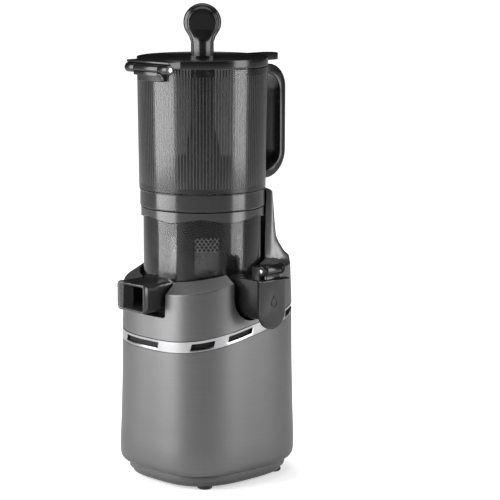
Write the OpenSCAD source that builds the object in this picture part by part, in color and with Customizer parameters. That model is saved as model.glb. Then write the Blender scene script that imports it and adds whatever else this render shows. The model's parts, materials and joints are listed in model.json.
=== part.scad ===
// Upright slow juicer: motor base, juicing bowl with strainer and auger, feed hopper, lid and pusher

/* [Motor base] */
// Widest width of the base
base_w = 160; // [154:1:174]
// Depth of the base, front to back
base_deep = 177; // [170:1:190]
// Squareness of the plan outline, where 2 is round
plan_power = 2.9; // [2.7:0.1:3.4]
// Wall of the outer shells
shell_t = 2.6; // [2:0.2:3.4]
// Height of the lower shell at its middle
lower_h = 147.5; // [144:0.5:153]
// Height of the bright trim band
band_h = 12.5; // [9:0.5:14]
// Height of the upper shell's wall at its middle
upper_h = 49; // [46:1:52]
// Height of the sloped shoulder above that wall
shoulder_h = 8.5; // [6:0.5:11]
// Height of a rubber foot
foot_h = 3.5; // [2:0.5:6]
// Diameter of a rubber foot
foot_d = 16; // [12:1:22]
// From the widest side to a foot's centre
foot_inset = 29; // [26:1:34]
// Height of the base plate under the shell
plate_h = 12; // [10:1:14]
// Thickness of the base plate's floor
plate_t = 3; // [2:0.5:4]

/* [Rear tower] */
// Height of the tower's top above the shoulder's rim
tower_h = 75; // [60:1:76]
// Thickness of the tower at its top
tower_t = 7; // [6:0.5:9]
// Half of the angle that the tower covers
tower_angle = 41; // [34:1:46]

/* [Bowl] */
// Outer diameter of the juicing bowl
bowl_d = 126; // [124:0.5:128]
// Wall of the bowl
bowl_t = 2.6; // [2:0.2:3.2]
// Height of the bowl
bowl_h = 113; // [108:1:120]
// Distance of the bowl's axis in front of the base's centre
bowl_forward = 7; // [5:0.5:9]
// Play round the bowl in its seat
bowl_play = 1.4; // [1:0.1:2]
// Wall of the bowl seat
seat_t = 2; // [1.6:0.2:2.6]
// Height of the collar at the bowl's top
collar_h = 8.5; // [7:0.5:11]
// How far the collar stands out
collar_out = 0.6; // [0.4:0.1:2]

/* [Strainer] */
// Outer diameter of the strainer basket
strainer_d = 95; // [92:1:98]
// Wall of the strainer basket
strainer_t = 2.4; // [2:0.2:3]
// Width of a strainer window
window_w = 28; // [20:1:32]
// Height of a strainer window
window_h = 40; // [30:1:44]
// Number of strainer windows
window_count = 6; // [4:1:7]

/* [Auger] */
// Play between the auger's flights and the strainer's mesh
auger_play = 1; // [0.6:0.1:2]
// Diameter of the auger's core at its foot
core_d = 50; // [40:1:60]
// Height of the auger
auger_h = 112; // [106:1:116]
// Thickness of a flight
flight_t = 6; // [4:0.5:8]
// Height of the cutter on the auger
cutter_h = 22; // [16:1:26]

/* [Hopper] */
// Outer diameter of the hopper at its foot
hopper_low_d = 134.6; // [133.6:0.2:135.4]
// Outer diameter of the hopper at its top
hopper_top_d = 138; // [136:0.5:140]
// Wall of the hopper
hopper_t = 2.6; // [2:0.2:3.2]
// Height of the hopper drum
hopper_h = 129; // [124:1:140]
// Height of the ring under the drum
ring_h = 19.5; // [17:0.5:24]
// How far the hopper turns to unlock
lock_turn = 20; // [15:1:25]

/* [Handle] */
// Width of the handle's strap
handle_w = 24; // [18:1:28]
// Thickness of the handle's strap
handle_t = 9; // [7:0.5:12]
// From the hopper's axis to the handle's outer face
handle_reach = 113; // [108:1:120]
// Height of the handle
handle_h = 124; // [118:1:126]

/* [Lid and pusher] */
// Height of the lid's skirt
lid_h = 9.5; // [8:0.5:12]
// Thickness of the lid's top
lid_t = 3; // [2:0.5:4]
// Length of the lid's hinge
hinge_w = 66; // [60:1:80]
// From the hopper's wall to the lid hinge's axis
hinge_out = 6; // [5:0.5:10]
// Diameter of the lid hinge pin
hinge_pin_d = 4.4; // [3:0.2:5]
// Width of the lid's thumb tab
tab_w = 22; // [16:1:26]
// From the hopper's axis to the tab's end
tab_reach = 108; // [100:1:112]
// Diameter of the pusher's stem
stem_d = 24.2; // [20:0.2:28]
// Diameter of the pusher's foot
push_foot_d = 35.5; // [32:0.5:38]
// Diameter of the pusher's paddle
paddle_d = 40; // [34:1:44]
// Thickness of the pusher's paddle
paddle_t = 15; // [12:0.5:18]
// Height of the pusher
pusher_h = 164; // [158:1:168]
// How far the pusher stands out over the lid
pusher_out = 55.5; // [52:0.5:60]

/* [Pulp chute] */
// Outer width of the chute
chute_w = 44; // [38:1:48]
// Outer height of the chute
chute_h = 31; // [28:1:32]
// From the base's centre to the chute's mouth
chute_reach = 109; // [100:1:116]
// Wall of the chute and the spout
duct_t = 3; // [2.4:0.2:3.4]
// Gap between the chute and its notch
notch_gap = 3.5; // [2:0.5:5]

/* [Juice spout] */
// Outer width of the spout
spout_w = 35; // [32:1:37]
// From the base's centre to the flap's face
spout_reach = 108; // [104:1:114]
// Height of the spout's top over the bowl's underside
spout_h = 46; // [42:1:48]
// Thickness of the flap
flap_t = 5; // [4:0.5:6]
// Height of the flap
flap_h = 52; // [48:1:56]
// Radius of the flap's hinge barrel
barrel_r = 5.4; // [4.5:0.1:6]
// Diameter of the flap's pin
flap_pin_d = 3.6; // [2.6:0.2:4.4]

/* [Drive] */
// Tooth module of the first gear pair
fine_module = 0.9; // [0.8:0.05:1]
// Tooth module of the second gear pair
coarse_module = 1.5; // [1.4:0.05:1.6]
// Teeth of the motor pinion
pinion_teeth = 12; // [12:1:14]
// Teeth of the idler's wheel
idler_wheel_teeth = 54; // [48:1:56]
// Teeth of the idler's pinion
idler_pinion_teeth = 12; // [12:1:14]
// Teeth of the output gear
output_teeth = 51; // [48:1:53]
// Face width of the fine gears
fine_face = 9; // [6:0.5:10]
// Face width of the coarse gears
coarse_face = 11; // [8:0.5:12]
// Side play between meshing teeth
backlash = 0.16; // [0.1:0.02:0.3]
// Radial play of every running shaft
run_play = 0.05; // [0.02:0.01:0.08]
// Diameter of the output shaft
out_shaft_d = 14; // [12:0.5:15]
// Width of the hexagon drive across its flats
hex_af = 12; // [10:0.5:12]
// Outer diameter of the motor
motor_d = 76; // [66:1:80]
// Height of the motor
motor_h = 70; // [60:1:76]
// Diameter of the motor shaft
motor_shaft_d = 8; // [7:0.5:9]
// Number of fan blades
blade_count = 9; // [5:1:12]

/* [Switch and inlet] */
// Width of the rocker switch
rocker_w = 14; // [10:1:18]
// Height of the rocker switch
rocker_h = 24; // [18:1:28]
// How far the rocker tips each way
rocker_tilt = 9; // [6:1:12]
// Diameter of the cord's inlet gland
gland_d = 13; // [10:1:16]

/* [Hidden] */
plan_steps = 96;
shell_steps = 144;
$fn = 72;
overrun = base_w / 160;
face_gap = bowl_d / 420;
base_r = base_w / 2;
back_r = base_deep / 2;

// the band climbs straight towards the back, and the edges above it in a shallow arc
band_slope = 0.183;
rise_share = 0.13;
arc_r = base_w * 4.25;
function band_rise(y) = band_slope * y;
function rise(y) = rise_share * y - y * y / (2 * arc_r);

// shares of the widest half width at the plate, the shell's foot, the band and the shoulder
plate_share = 0.895;
foot_share = 0.918;
band_share = 0.968;
crease_share = 0.951;
shell_foot_z = foot_h + plate_h;
band_z = shell_foot_z + lower_h;
upper_z = band_z + band_h;
crease_z = upper_z + upper_h;
rim_z = crease_z + shoulder_h;
crease_r = base_r * crease_share;

// bowl, seat and what stands on them
bowl_r = bowl_d / 2;
well_r = bowl_r + bowl_play;
seat_r = well_r + seat_t;
rim_r = seat_r + face_gap;
seat_floor_z = upper_z + seat_t / 4;
bowl_z = seat_floor_z + seat_t + seat_t;
bowl_floor_t = bowl_t * 1.15;
bowl_top_z = bowl_z + bowl_h;
collar_z = bowl_top_z - collar_h;
ring_z = bowl_top_z + face_gap;
drum_z = ring_z + ring_h;
lid_z = drum_z + hopper_h;
lid_top_z = lid_z + lid_h;
ring_r = hopper_low_d / 2 - face_gap * 3;
tower_in_r = hopper_low_d / 2 + face_gap * 4;
tower_out_r = tower_in_r + tower_t;
tower_z = min(rim_z + tower_h, drum_z - face_gap * 4);
tower_round = tower_t * 0.4;
tower_blend = 7;

// the frame's origin is the middle of the whole outline, on the floor
back_reach = handle_reach - bowl_forward;
lip_out = flap_t * 0.8;
base_x = (base_r - spout_reach - lip_out) / 2;
base_y = (chute_reach - back_reach) / 2;

function mix(p, q, s) = p + (q - p) * s;
function plan_pt(a, half) =
    let (p = plan_power, r = half / pow(pow(abs(cos(a)), p) + pow(abs(sin(a)), p), 1 / p))
    [r * cos(a), r * sin(a) * base_deep / base_w];
function plan_outline(half, steps = plan_steps) =
    [for (i = [0 : steps - 1]) plan_pt(i * 360 / steps, half)];
function swept_ring(half, z, follow, steps = plan_steps) =
    [for (p = plan_outline(half, steps)) [p[0], p[1], z + follow * band_rise(p[1])]];
function arc_ring(half, z, steps) = [for (p = plan_outline(half, steps)) [p[0], p[1], z + rise(p[1])]];

module at_base() translate([base_x, base_y, 0]) children();
module at_bowl() translate([base_x, base_y - bowl_forward, 0]) children();
module plan_prism(half, z, h) translate([0, 0, z]) linear_extrude(h) polygon(plan_outline(half));
module tube(outer, inner, z, h) translate([0, 0, z]) difference() {
    cylinder(r = outer, h = h);
    translate([0, 0, -overrun]) cylinder(r = inner, h = h + 2 * overrun);
}
module along_x(x, y, z, r, length) translate([x, y, z]) rotate([0, 90, 0]) cylinder(r = r, h = length);
module along_y(x, y, z, r, length) translate([x, y, z]) rotate([-90, 0, 0]) cylinder(r = r, h = length);
module block(x, y, z) translate([x[0], y[0], z[0]]) cube([x[1] - x[0], y[1] - y[0], z[1] - z[0]]);
module mirror_pair(axis) { children(); mirror(axis) children(); }

// a closed skin through a loop of rings, outside upwards and inside downwards
module ring_solid(rings) {
    n = len(rings[0]);
    m = len(rings);
    polyhedron(
        points = [for (ring = rings) each ring],
        faces = [for (j = [0 : m - 1], i = [0 : n - 1])
            let (k = (j + 1) % m, l = (i + 1) % n)
            each [[j * n + i, k * n + i, k * n + l], [j * n + i, k * n + l, j * n + l]]]);
}

// space between two heights that follow the band's slope or the arc, drawn from the side
module side_slab(ys, lows, highs) rotate([90, 0, 90]) translate([0, 0, -base_w]) linear_extrude(2 * base_w)
    polygon(concat([for (i = [0 : len(ys) - 1]) [ys[i], lows[i]]],
        [for (i = [len(ys) - 1 : -1 : 0]) [ys[i], highs[i]]]));
module band_slab(low, high)
    side_slab([-base_w, base_w], [low - band_rise(base_w), low + band_rise(base_w)],
        [high - band_rise(base_w), high + band_rise(base_w)]);
module arc_slab(low, high) let (ys = [for (i = [0 : 16]) mix(-back_r, back_r, i / 16) * 1.1])
    side_slab(ys, [for (y = ys) low + rise(y)], [for (y = ys) high + rise(y)]);

foot_spots = [for (sx = [-1, 1], sy = [-1, 1]) [sx * (base_r - foot_inset), sy * (base_r - foot_inset)]];
module rubber_feet() color("dimgray") at_base() for (p = foot_spots)
    translate([p[0], p[1], 0]) {
        cylinder(r = foot_d * 0.42, h = foot_h);
        translate([0, 0, foot_h / 3]) cylinder(d = foot_d, h = foot_h * 2 / 3);
    }

// gearbox posts stand on the base plate
gear_plate_t = plate_t * 1.3;
motor_z = shell_foot_z + plate_h * 1.7;
gear_plate_z = motor_z + motor_h + plate_t;
post_r = foot_d * 0.3;
post_x = base_r * 0.53;
post_front = -base_r * 0.57;
post_back = base_r * 0.69;
post_spots = [for (x = [-post_x, post_x], y = [post_front, post_back]) [x, y]];
screw_r = post_r * 0.38;
head_r = screw_r * 1.9;
head_h = screw_r * 1.1;
plate_step = plate_h * 0.4;
floor_top = foot_h + plate_step + plate_t;
board_w = base_w * 0.42;
board_h = motor_h * 0.7;
board_t = plate_t * 0.53;
board_y = base_r * 0.72;
board_z = floor_top + plate_h * 0.6;
module base_plate() color("dimgray") at_base() difference() {
    union() {
        plan_prism(base_r * plate_share * 0.955, foot_h, plate_step + plate_t);
        difference() {
            plan_prism(base_r * plate_share, foot_h + plate_step, plate_h - plate_step);
            plan_prism(base_r * plate_share - shell_t, floor_top, plate_h);
        }
        for (p = post_spots) translate([p[0], p[1], foot_h + plate_step])
            cylinder(r = post_r, h = gear_plate_z - foot_h - plate_step);
        for (x = [-1, 1]) block([x * board_w * 0.3 - post_r, x * board_w * 0.3 + post_r],
            [board_y + board_t, board_y + board_t + post_r], [foot_h + plate_step, board_z + board_h * 0.3]);
    }
    for (p = post_spots) translate([p[0], p[1], 0]) {
        cylinder(r = screw_r, h = gear_plate_z + overrun);
        cylinder(r = head_r, h = foot_h + head_h * 1.5);
    }
    for (k = [0 : 35]) rotate(k * 10) translate([base_r * 0.36, -screw_r, 0])
        cube([base_r * 0.2, screw_r * 2, floor_top + overrun]);
}
module base_screws() color("silver") at_base() for (p = post_spots) translate([p[0], p[1], 0]) {
    translate([0, 0, foot_h + head_h * 0.5]) cylinder(r = head_r * 0.92, h = head_h);
    translate([0, 0, foot_h + head_h * 1.5]) cylinder(r = screw_r, h = head_h * 4);
}

// lower shell: bulging outside, even wall inside, vents of the switch and inlet cut at the back
gland_z = shell_foot_z + gland_d * 1.3;
gland_x = 0;
rocker_z = shell_foot_z + lower_h * 0.42;
rocker_x = 0;
switch_play = face_gap * 0.5;
shell_shares = [[0, foot_share], [0.02, 0.97], [0.047, 1], [0.12, 1], [0.35, 0.989], [0.7, 0.974],
    [1, band_share]];
function shell_back(z) = back_r * lookup((z - shell_foot_z) / (lower_h + band_rise(back_r)), shell_shares);
function lower_ring(share, level, inset) =
    swept_ring(base_r * share - inset, mix(shell_foot_z, band_z, level), level);
seam_gap = face_gap * 0.4;
inlet_half = gland_d * 1.1;
inlet_top = gland_z + gland_d * 1.1;
module shell_skin() ring_solid(concat(
    [for (s = shell_shares) lower_ring(s[1], s[0], 0)],
    [for (i = [len(shell_shares) - 1 : -1 : 0])
        lower_ring(shell_shares[i][1], shell_shares[i][0], shell_t)]));
module inlet_notch(gap) block([gland_x - inlet_half + gap, gland_x + inlet_half - gap], [0, base_w],
    [0, inlet_top - gap]);
module base_shell() color("gray") at_base() difference() {
    shell_skin();
    block([rocker_x - rocker_w * 0.7, rocker_x + rocker_w * 0.7], [0, base_w],
        [rocker_z - rocker_h * 0.65, rocker_z + rocker_h * 0.65]);
    inlet_notch(0);
}
// plate that closes the shell's notch and carries the cord's gland
module cord_plate() color("gray") at_base() difference() {
    intersection() {
        shell_skin();
        inlet_notch(seam_gap);
    }
    along_y(gland_x, 0, gland_z, gland_d / 2, base_w);
}

// bright band with long slots over a dark liner
band_r = base_r * band_share;
slot_h = band_h * 0.5;
slot_low = band_z + (band_h - slot_h) / 2;
slot_spans = [[-115, -80], [-54, -38.5], [-28, -6], [32, 58], [78, 102], [122, 150], [172, 200]];
module trim_band() color("silver") at_base() difference() {
    intersection() {
        difference() {
            plan_prism(band_r, 0, rim_z);
            plan_prism(band_r - shell_t, -overrun, rim_z + 2 * overrun);
        }
        band_slab(band_z + seam_gap, upper_z - seam_gap);
    }
    intersection() {
        band_slab(slot_low, slot_low + slot_h);
        for (span = slot_spans) linear_extrude(rim_z)
            polygon(concat([[0, 0]], [for (i = [0 : 4]) polar(base_w, mix(span[0], span[1], i / 4))]));
    }
}
module vent_liner() color("black") at_base() intersection() {
    difference() {
        plan_prism(band_r - shell_t - face_gap / 2, 0, rim_z);
        plan_prism(band_r - 2 * shell_t, -overrun, rim_z + 2 * overrun);
    }
    band_slab(band_z + seam_gap, upper_z - shell_t);
}

// upper shell: wall, sloped shoulder and the tower in one skin
function tower_share(a) =
    let (u = (tower_angle + tower_blend / 2 - abs(a - 90)) / tower_blend, s = min(1, max(0, u)))
    s * s * (3 - 2 * s);
function bowl_pt(a, r) = [r * cos(a), r * sin(a) - bowl_forward];
function lift(p, z) = [p[0], p[1], z];
flare_shares = [[0, 0], [0.055, 0.083], [0.29, 0.14], [0.52, 0.233], [0.71, 0.325], [0.83, 0.458], [1, 1]];
flare_last = len(flare_shares) - 1;
function crease_pt(a) = let (p = plan_pt(a, crease_r)) lift(p, crease_z + rise(p[1]));
function rim_pt(a, r, drop) = let (p = bowl_pt(a, r)) lift(p, rim_z - drop + rise(p[1]));
function tower_pt(a, k) =
    let (c = crease_pt(a), f = flare_shares[min(k, flare_last)],
         p = mix([c[0], c[1]], bowl_pt(a, tower_out_r), f[0]))
    k <= flare_last ? lift(p, mix(c[2], tower_z - tower_round, f[1])) :
    k == flare_last + 1 ? lift(bowl_pt(a, tower_out_r - tower_round * 0.3), tower_z - tower_round * 0.3) :
    k == flare_last + 2 ? lift(bowl_pt(a, tower_out_r - tower_round), tower_z) :
    lift(bowl_pt(a, tower_in_r), tower_z);
shoulder_last = flare_last + 3;
function shoulder_ring(k) = [for (i = [0 : shell_steps - 1])
    let (a = i * 360 / shell_steps, w = tower_share(a),
         plain = mix(crease_pt(a), rim_pt(a, rim_r, 0), k / shoulder_last))
    mix(plain, tower_pt(a, k), w)];
function well_ring(drop) = [for (i = [0 : shell_steps - 1])
    let (a = i * 360 / shell_steps)
    mix(rim_pt(a, rim_r, drop), rim_pt(a, tower_in_r, drop), tower_share(a))];
notch_x = chute_w / 2 + notch_gap;
chute_z = bowl_z + bowl_floor_t + duct_t * 2.5;
notch_z = chute_z - notch_gap * 2;
spout_r = spout_w / 2;
spout_top = bowl_z + spout_h;
spout_axis_z = bowl_z + spout_r * 1.08;
side_notch_r = spout_r + notch_gap * 2;
side_notch_z = seat_floor_z + seat_t + face_gap + side_notch_r;
sensor_w = tower_t * 3.4;
sensor_t = tower_t * 0.5;
sensor_r = tower_in_r + tower_t * 0.3;
sensor_top = tower_z - tower_t * 0.8;
module notches(inner) {
    block([-notch_x, notch_x], [-base_w, -inner], [notch_z, rim_z * 2]);
    along_x(inner, -bowl_forward, side_notch_z, side_notch_r, base_w);
    block([inner, base_w], [-side_notch_r - bowl_forward, side_notch_r - bowl_forward],
        [side_notch_z, rim_z * 2]);
}
module upper_shell() color("gray") at_base() difference() {
    ring_solid(concat(
        [swept_ring(base_r * band_share, upper_z, 1, shell_steps)],
        [for (k = [0 : shoulder_last]) shoulder_ring(k)],
        [well_ring(shell_t)],
        [arc_ring(crease_r - shell_t, crease_z - shell_t / 2, shell_steps)],
        [swept_ring(base_r * band_share - shell_t, upper_z, 1, shell_steps)]));
    notches(bowl_r * 0.9);
    block([-sensor_w / 2, sensor_w / 2],
        [sensor_r - bowl_forward - switch_play, sensor_r - bowl_forward + sensor_t + switch_play],
        [rim_z - shell_t * 4, sensor_top]);
}
module interlock_sensor() color("darkgreen") at_base()
    block([-sensor_w / 2 + switch_play, sensor_w / 2 - switch_play],
        [sensor_r - bowl_forward, sensor_r - bowl_forward + sensor_t], [tower_z - tower_h * 0.4, sensor_top]);

// bowl seat: a tub in the upper shell, with troughs for the chute and the spout
seat_top = rim_z + rise(-rim_r - bowl_forward) - shell_t;
cover_top = gear_plate_z + gear_plate_t + fine_face + coarse_face + gear_plate_t * 3.4;
leg_r = post_r * 0.8;
leg_reach = output_r() * 0.56;
shaft_hole_r = out_shaft_d / 2 + seat_t * 2;
seal_h = seat_t * 2;
module bowl_seat() color("dimgray") at_base() {
    seat_shell();
    translate([0, -bowl_forward, 0])
        tube(bowl_r * 0.74, bowl_r * 0.66, seat_floor_z + seat_t / 2, seat_t * 1.5 - face_gap);
}
module troughs() {
    block([-notch_x - seat_t, notch_x + seat_t], [-base_w, -bowl_forward], [notch_z - seat_t, seat_top]);
    along_x(0, -bowl_forward, side_notch_z, side_notch_r + seat_t, base_w);
    block([0, base_w], [-side_notch_r - seat_t - bowl_forward, side_notch_r + seat_t - bowl_forward],
        [side_notch_z, seat_top]);
}
module seat_shell() difference() {
    union() {
        intersection() {
            union() {
                translate([0, -bowl_forward, 0]) cylinder_between(seat_r, seat_floor_z, seat_top);
                intersection() {
                    troughs();
                    arc_slab(0, crease_z - shell_t);
                }
            }
            plan_prism(crease_r - shell_t - face_gap, seat_floor_z, rim_z);
        }
        for (sx = [-1, 1], sy = [-1, 1])
            translate([sx * leg_reach, sy * leg_reach - bowl_forward, 0])
                cylinder_between(leg_r, cover_top, seat_floor_z + seat_t);
    }
    translate([0, -bowl_forward, 0]) {
        cylinder_between(well_r, seat_floor_z + seat_t, rim_z * 2);
        cylinder_between(shaft_hole_r, 0, rim_z);
    }
    notches(bowl_r * 0.9);
}
module cylinder_between(r, low, high) translate([0, 0, low]) cylinder(r = r, h = high - low);
module shaft_seal() color("black") at_bowl() {
    tube(shaft_hole_r, out_shaft_d / 2 + run_play, seat_floor_z, seal_h * 0.7);
    tube(shaft_hole_r + seat_t, out_shaft_d / 2 + run_play, seat_floor_z + seat_t, seal_h * 0.4);
}

// toothed wheels with true involute flanks
pressure_angle = 25;
flank_steps = 3;
function involute_turn(r, base) = r <= base ? 0 : let (t = acos(base / r)) tan(t) * 180 / PI - t;
function gear_outline(teeth, unit) =
    let (pitch = teeth * unit / 2, base = pitch * cos(pressure_angle), tip = pitch + unit,
         root = pitch - 1.25 * unit, start = max(base, root),
         half = 90 / teeth - backlash / 2 / pitch * 90 / PI + involute_turn(pitch, base))
    [for (k = [0 : teeth - 1]) let (mid = k * 360 / teeth) each concat(
        [polar(root, mid - 180 / teeth)],
        start > root ? [polar(root, mid - half + involute_turn(start, base))] : [],
        [for (i = [0 : flank_steps]) let (r = mix(start, tip, i / flank_steps))
            polar(r, mid - half + involute_turn(r, base))],
        [for (i = [flank_steps : -1 : 0]) let (r = mix(start, tip, i / flank_steps))
            polar(r, mid + half - involute_turn(r, base))],
        start > root ? [polar(root, mid + half - involute_turn(start, base))] : [])];
function polar(r, a) = [r * cos(a), r * sin(a)];
function output_r() = output_teeth * coarse_module / 2;
module gear(teeth, unit, z, face, bore, turn = 0) translate([0, 0, z]) rotate(turn) difference() {
    linear_extrude(face) polygon(gear_outline(teeth, unit));
    translate([0, 0, -overrun]) cylinder(r = bore, h = face + 2 * overrun);
}

// the gear train: motor, idler and output axes
fine_reach = (pinion_teeth + idler_wheel_teeth) * fine_module / 2;
coarse_reach = (idler_pinion_teeth + output_teeth) * coarse_module / 2;
idler_y = coarse_reach - bowl_forward;
motor_lean = 28;
motor_x = fine_reach * sin(motor_lean);
motor_y = idler_y - fine_reach * cos(motor_lean);
gear_floor = gear_plate_z + gear_plate_t;
fine_z = gear_floor + gear_plate_t * 0.5;
coarse_z = fine_z + fine_face + gear_plate_t * 0.5;
bearing_h = gear_plate_t * 1.6;
bearing_r = out_shaft_d * 0.9;
boss_t = gear_plate_t * 0.6;
top_bearing_z = cover_top - gear_plate_t * 0.18 - bearing_h;
idler_pin_r = motor_shaft_d / 2;
module at_idler() translate([base_x, base_y + idler_y, 0]) children();
module at_motor() translate([base_x + motor_x, base_y + motor_y, 0]) children();

plate_corner_r = post_r * 2;
cover_t = gear_plate_t * 0.6;
cover_low_r = output_r() + coarse_module + cover_t + face_gap * 4;
cover_back_r = idler_wheel_teeth * fine_module / 2 + fine_module + cover_t + face_gap * 4;
motor_mount_r = motor_d * 0.36;
module gearbox_plate() color("lightgray") difference() {
    union() {
        at_base() {
            block([-post_x - plate_corner_r / 2, post_x + plate_corner_r / 2],
                [post_front, post_back], [gear_plate_z, gear_floor]);
            block([-post_x, post_x], [post_front - plate_corner_r / 2, post_back + plate_corner_r / 2],
                [gear_plate_z, gear_floor]);
            for (p = post_spots) translate([p[0], p[1], gear_plate_z])
                cylinder(r = plate_corner_r / 2, h = gear_plate_t);
        }
        at_bowl() tube(bearing_r + boss_t, bearing_r, gear_floor, bearing_h);
    }
    at_base() for (p = post_spots) translate([p[0], p[1], 0]) cylinder(r = screw_r, h = gear_floor + overrun);
    at_motor() cylinder(r = motor_shaft_d, h = gear_floor + overrun);
    at_idler() translate([0, 0, gear_plate_z + gear_plate_t / 3])
        cylinder(r = idler_pin_r, h = gear_plate_t);
}
module cover_outline(inset, low, high) {
    at_bowl() cylinder_between(cover_low_r - inset, low, high);
    at_idler() cylinder_between(cover_back_r - inset, low, high);
    at_base() block([-cover_back_r + inset, cover_back_r - inset], [-bowl_forward, idler_y], [low, high]);
}
module gearbox_cover() color("lightgray") difference() {
    union() {
        difference() {
            cover_outline(0, gear_floor, cover_top);
            cover_outline(cover_t, gear_floor - overrun, cover_top - cover_t);
        }
        at_bowl() cylinder_between(bearing_r + boss_t, top_bearing_z, cover_top);
        at_base() for (p = cover_spots) translate([p[0], p[1], gear_floor])
            cylinder(r = head_r * 1.5, h = gear_plate_t);
    }
    at_bowl() cylinder_between(bearing_r, 0, cover_top - gear_plate_t * 0.18);
    at_bowl() cylinder_between(out_shaft_d / 2 + cover_t / 2, 0, cover_top * 2);
    at_base() for (p = cover_spots) translate([p[0], p[1], 0])
        cylinder(r = screw_r, h = gear_floor + gear_plate_t + overrun);
}
cover_spots = concat(
    [for (a = [-40, -140]) [(cover_low_r + head_r) * cos(a), (cover_low_r + head_r) * sin(a) - bowl_forward]],
    [for (side = [-1, 1]) [side * (cover_back_r + head_r), idler_y]]);
module gearbox_screws() color("silver") at_base() {
    for (p = post_spots) translate([p[0], p[1], gear_floor]) {
        cylinder(r = head_r, h = head_h);
        translate([0, 0, -gear_plate_t * 3]) cylinder(r = screw_r, h = gear_plate_t * 3);
    }
    for (p = cover_spots) translate([p[0], p[1], gear_floor]) {
        translate([0, 0, gear_plate_t]) cylinder(r = head_r, h = head_h);
        cylinder(r = screw_r, h = gear_plate_t);
    }
}
module idler_pin() color("silver") at_idler()
    cylinder_between(idler_pin_r, gear_plate_z + gear_plate_t / 3, cover_top - cover_t);
mesh_turn = 90;
module idler_gear() color("ivory") at_idler() {
    gear(idler_wheel_teeth, fine_module, fine_z, fine_face, idler_pin_r + run_play,
        motor_lean - 90 + 180 / idler_wheel_teeth);
    gear(idler_pinion_teeth, coarse_module, fine_z + fine_face, coarse_z - fine_z - fine_face + coarse_face,
        idler_pin_r + run_play, -mesh_turn + 180 / idler_pinion_teeth);
}
module output_gear() color("ivory") at_bowl()
    gear(output_teeth, coarse_module, coarse_z, coarse_face, out_shaft_d / 2, mesh_turn);
shaft_top = bowl_z - face_gap * 4;
module output_shaft() color("silver") at_bowl() {
    cylinder_between(out_shaft_d / 2, gear_floor + face_gap, shaft_top);
    translate([0, 0, shaft_top]) cylinder(d = hex_af / cos(30), h = socket_h - face_gap * 2, $fn = 6);
}
module output_bearings() color("gray") at_bowl() {
    tube(bearing_r, out_shaft_d / 2 + run_play, gear_floor, bearing_h);
    tube(bearing_r, out_shaft_d / 2 + run_play, top_bearing_z, bearing_h);
}

// motor: a can under the gearbox plate, with rotor, fan and pinion on one shaft
motor_r = motor_d / 2;
can_t = plate_t * 0.7;
rotor_r = motor_r * 0.5;
stator_in_r = rotor_r + face_gap * 3;
motor_bearing_r = motor_shaft_d * 1.2;
motor_bearing_h = can_t * 3;
motor_shaft_r = motor_shaft_d / 2;
pinion_bore = motor_shaft_r * 0.75;
module motor_can() color("silver") at_motor() difference() {
    union() {
        cylinder_between(motor_r, motor_z, motor_z + motor_h);
        cylinder_between(motor_bearing_r + can_t, motor_z - can_t, gear_plate_z);
        for (k = [0 : 2]) rotate(k * 120 + 30) translate([motor_mount_r, 0, 0])
            cylinder_between(head_r * 1.4, motor_z + motor_h - can_t, gear_plate_z);
    }
    cylinder_between(motor_r - can_t, motor_z + can_t, motor_z + motor_h - can_t);
    cylinder_between(motor_shaft_r * 1.5, 0, cover_top);
    for (z = [motor_z - can_t * 1.5, gear_plate_z - motor_bearing_h]) translate([0, 0, z])
        cylinder(r = motor_bearing_r, h = motor_bearing_h + can_t * 0.5);
    for (k = [0 : 11]) rotate(k * 30) translate([motor_r * 0.6, 0, motor_z - overrun])
        cylinder(r = motor_r * 0.11, h = can_t + 2 * overrun);
}
module stator() color("sienna") at_motor()
    tube(motor_r - can_t, stator_in_r, motor_z + motor_h * 0.25, motor_h * 0.5);
module stator_windings() color("peru") at_motor() for (level = [0.12, 0.75])
    tube(motor_r - can_t * 2.5, stator_in_r + can_t,
        motor_z + motor_h * level, motor_h * 0.13);
module motor_bearings() color("gray") at_motor()
    for (z = [motor_z - can_t, gear_plate_z - motor_bearing_h])
        tube(motor_bearing_r, motor_shaft_r + run_play, z, motor_bearing_h);
fan_z = floor_top + plate_h * 0.5;
fan_h = motor_z - can_t - fan_z - face_gap * 4;
blade_t = fan_h * 0.12;
module motor_shaft() color("silver") at_motor() {
    cylinder_between(motor_shaft_r, fan_z, gear_plate_z + gear_plate_t / 2);
    cylinder_between(pinion_bore, gear_plate_z + gear_plate_t / 2, fine_z + fine_face);
}
module armature() color("darkgray") at_motor()
    tube(rotor_r, motor_shaft_r, motor_z + motor_h * 0.25, motor_h * 0.5);
module motor_pinion() color("silver") at_motor()
    gear(pinion_teeth, fine_module, fine_z, fine_face, pinion_bore, 90 + motor_lean);
module cooling_fan() color("black") at_motor() {
    tube(motor_shaft_r * 2.2, motor_shaft_r, fan_z, fan_h);
    tube(motor_r * 0.8, motor_shaft_r * 1.8, fan_z, fan_h * 0.15);
    for (k = [0 : blade_count - 1]) rotate(k * 360 / blade_count)
        block([motor_shaft_r * 1.6, motor_r * 0.77], [-blade_t / 2, blade_t / 2],
            [fan_z, fan_z + fan_h * 0.9]);
}

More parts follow.
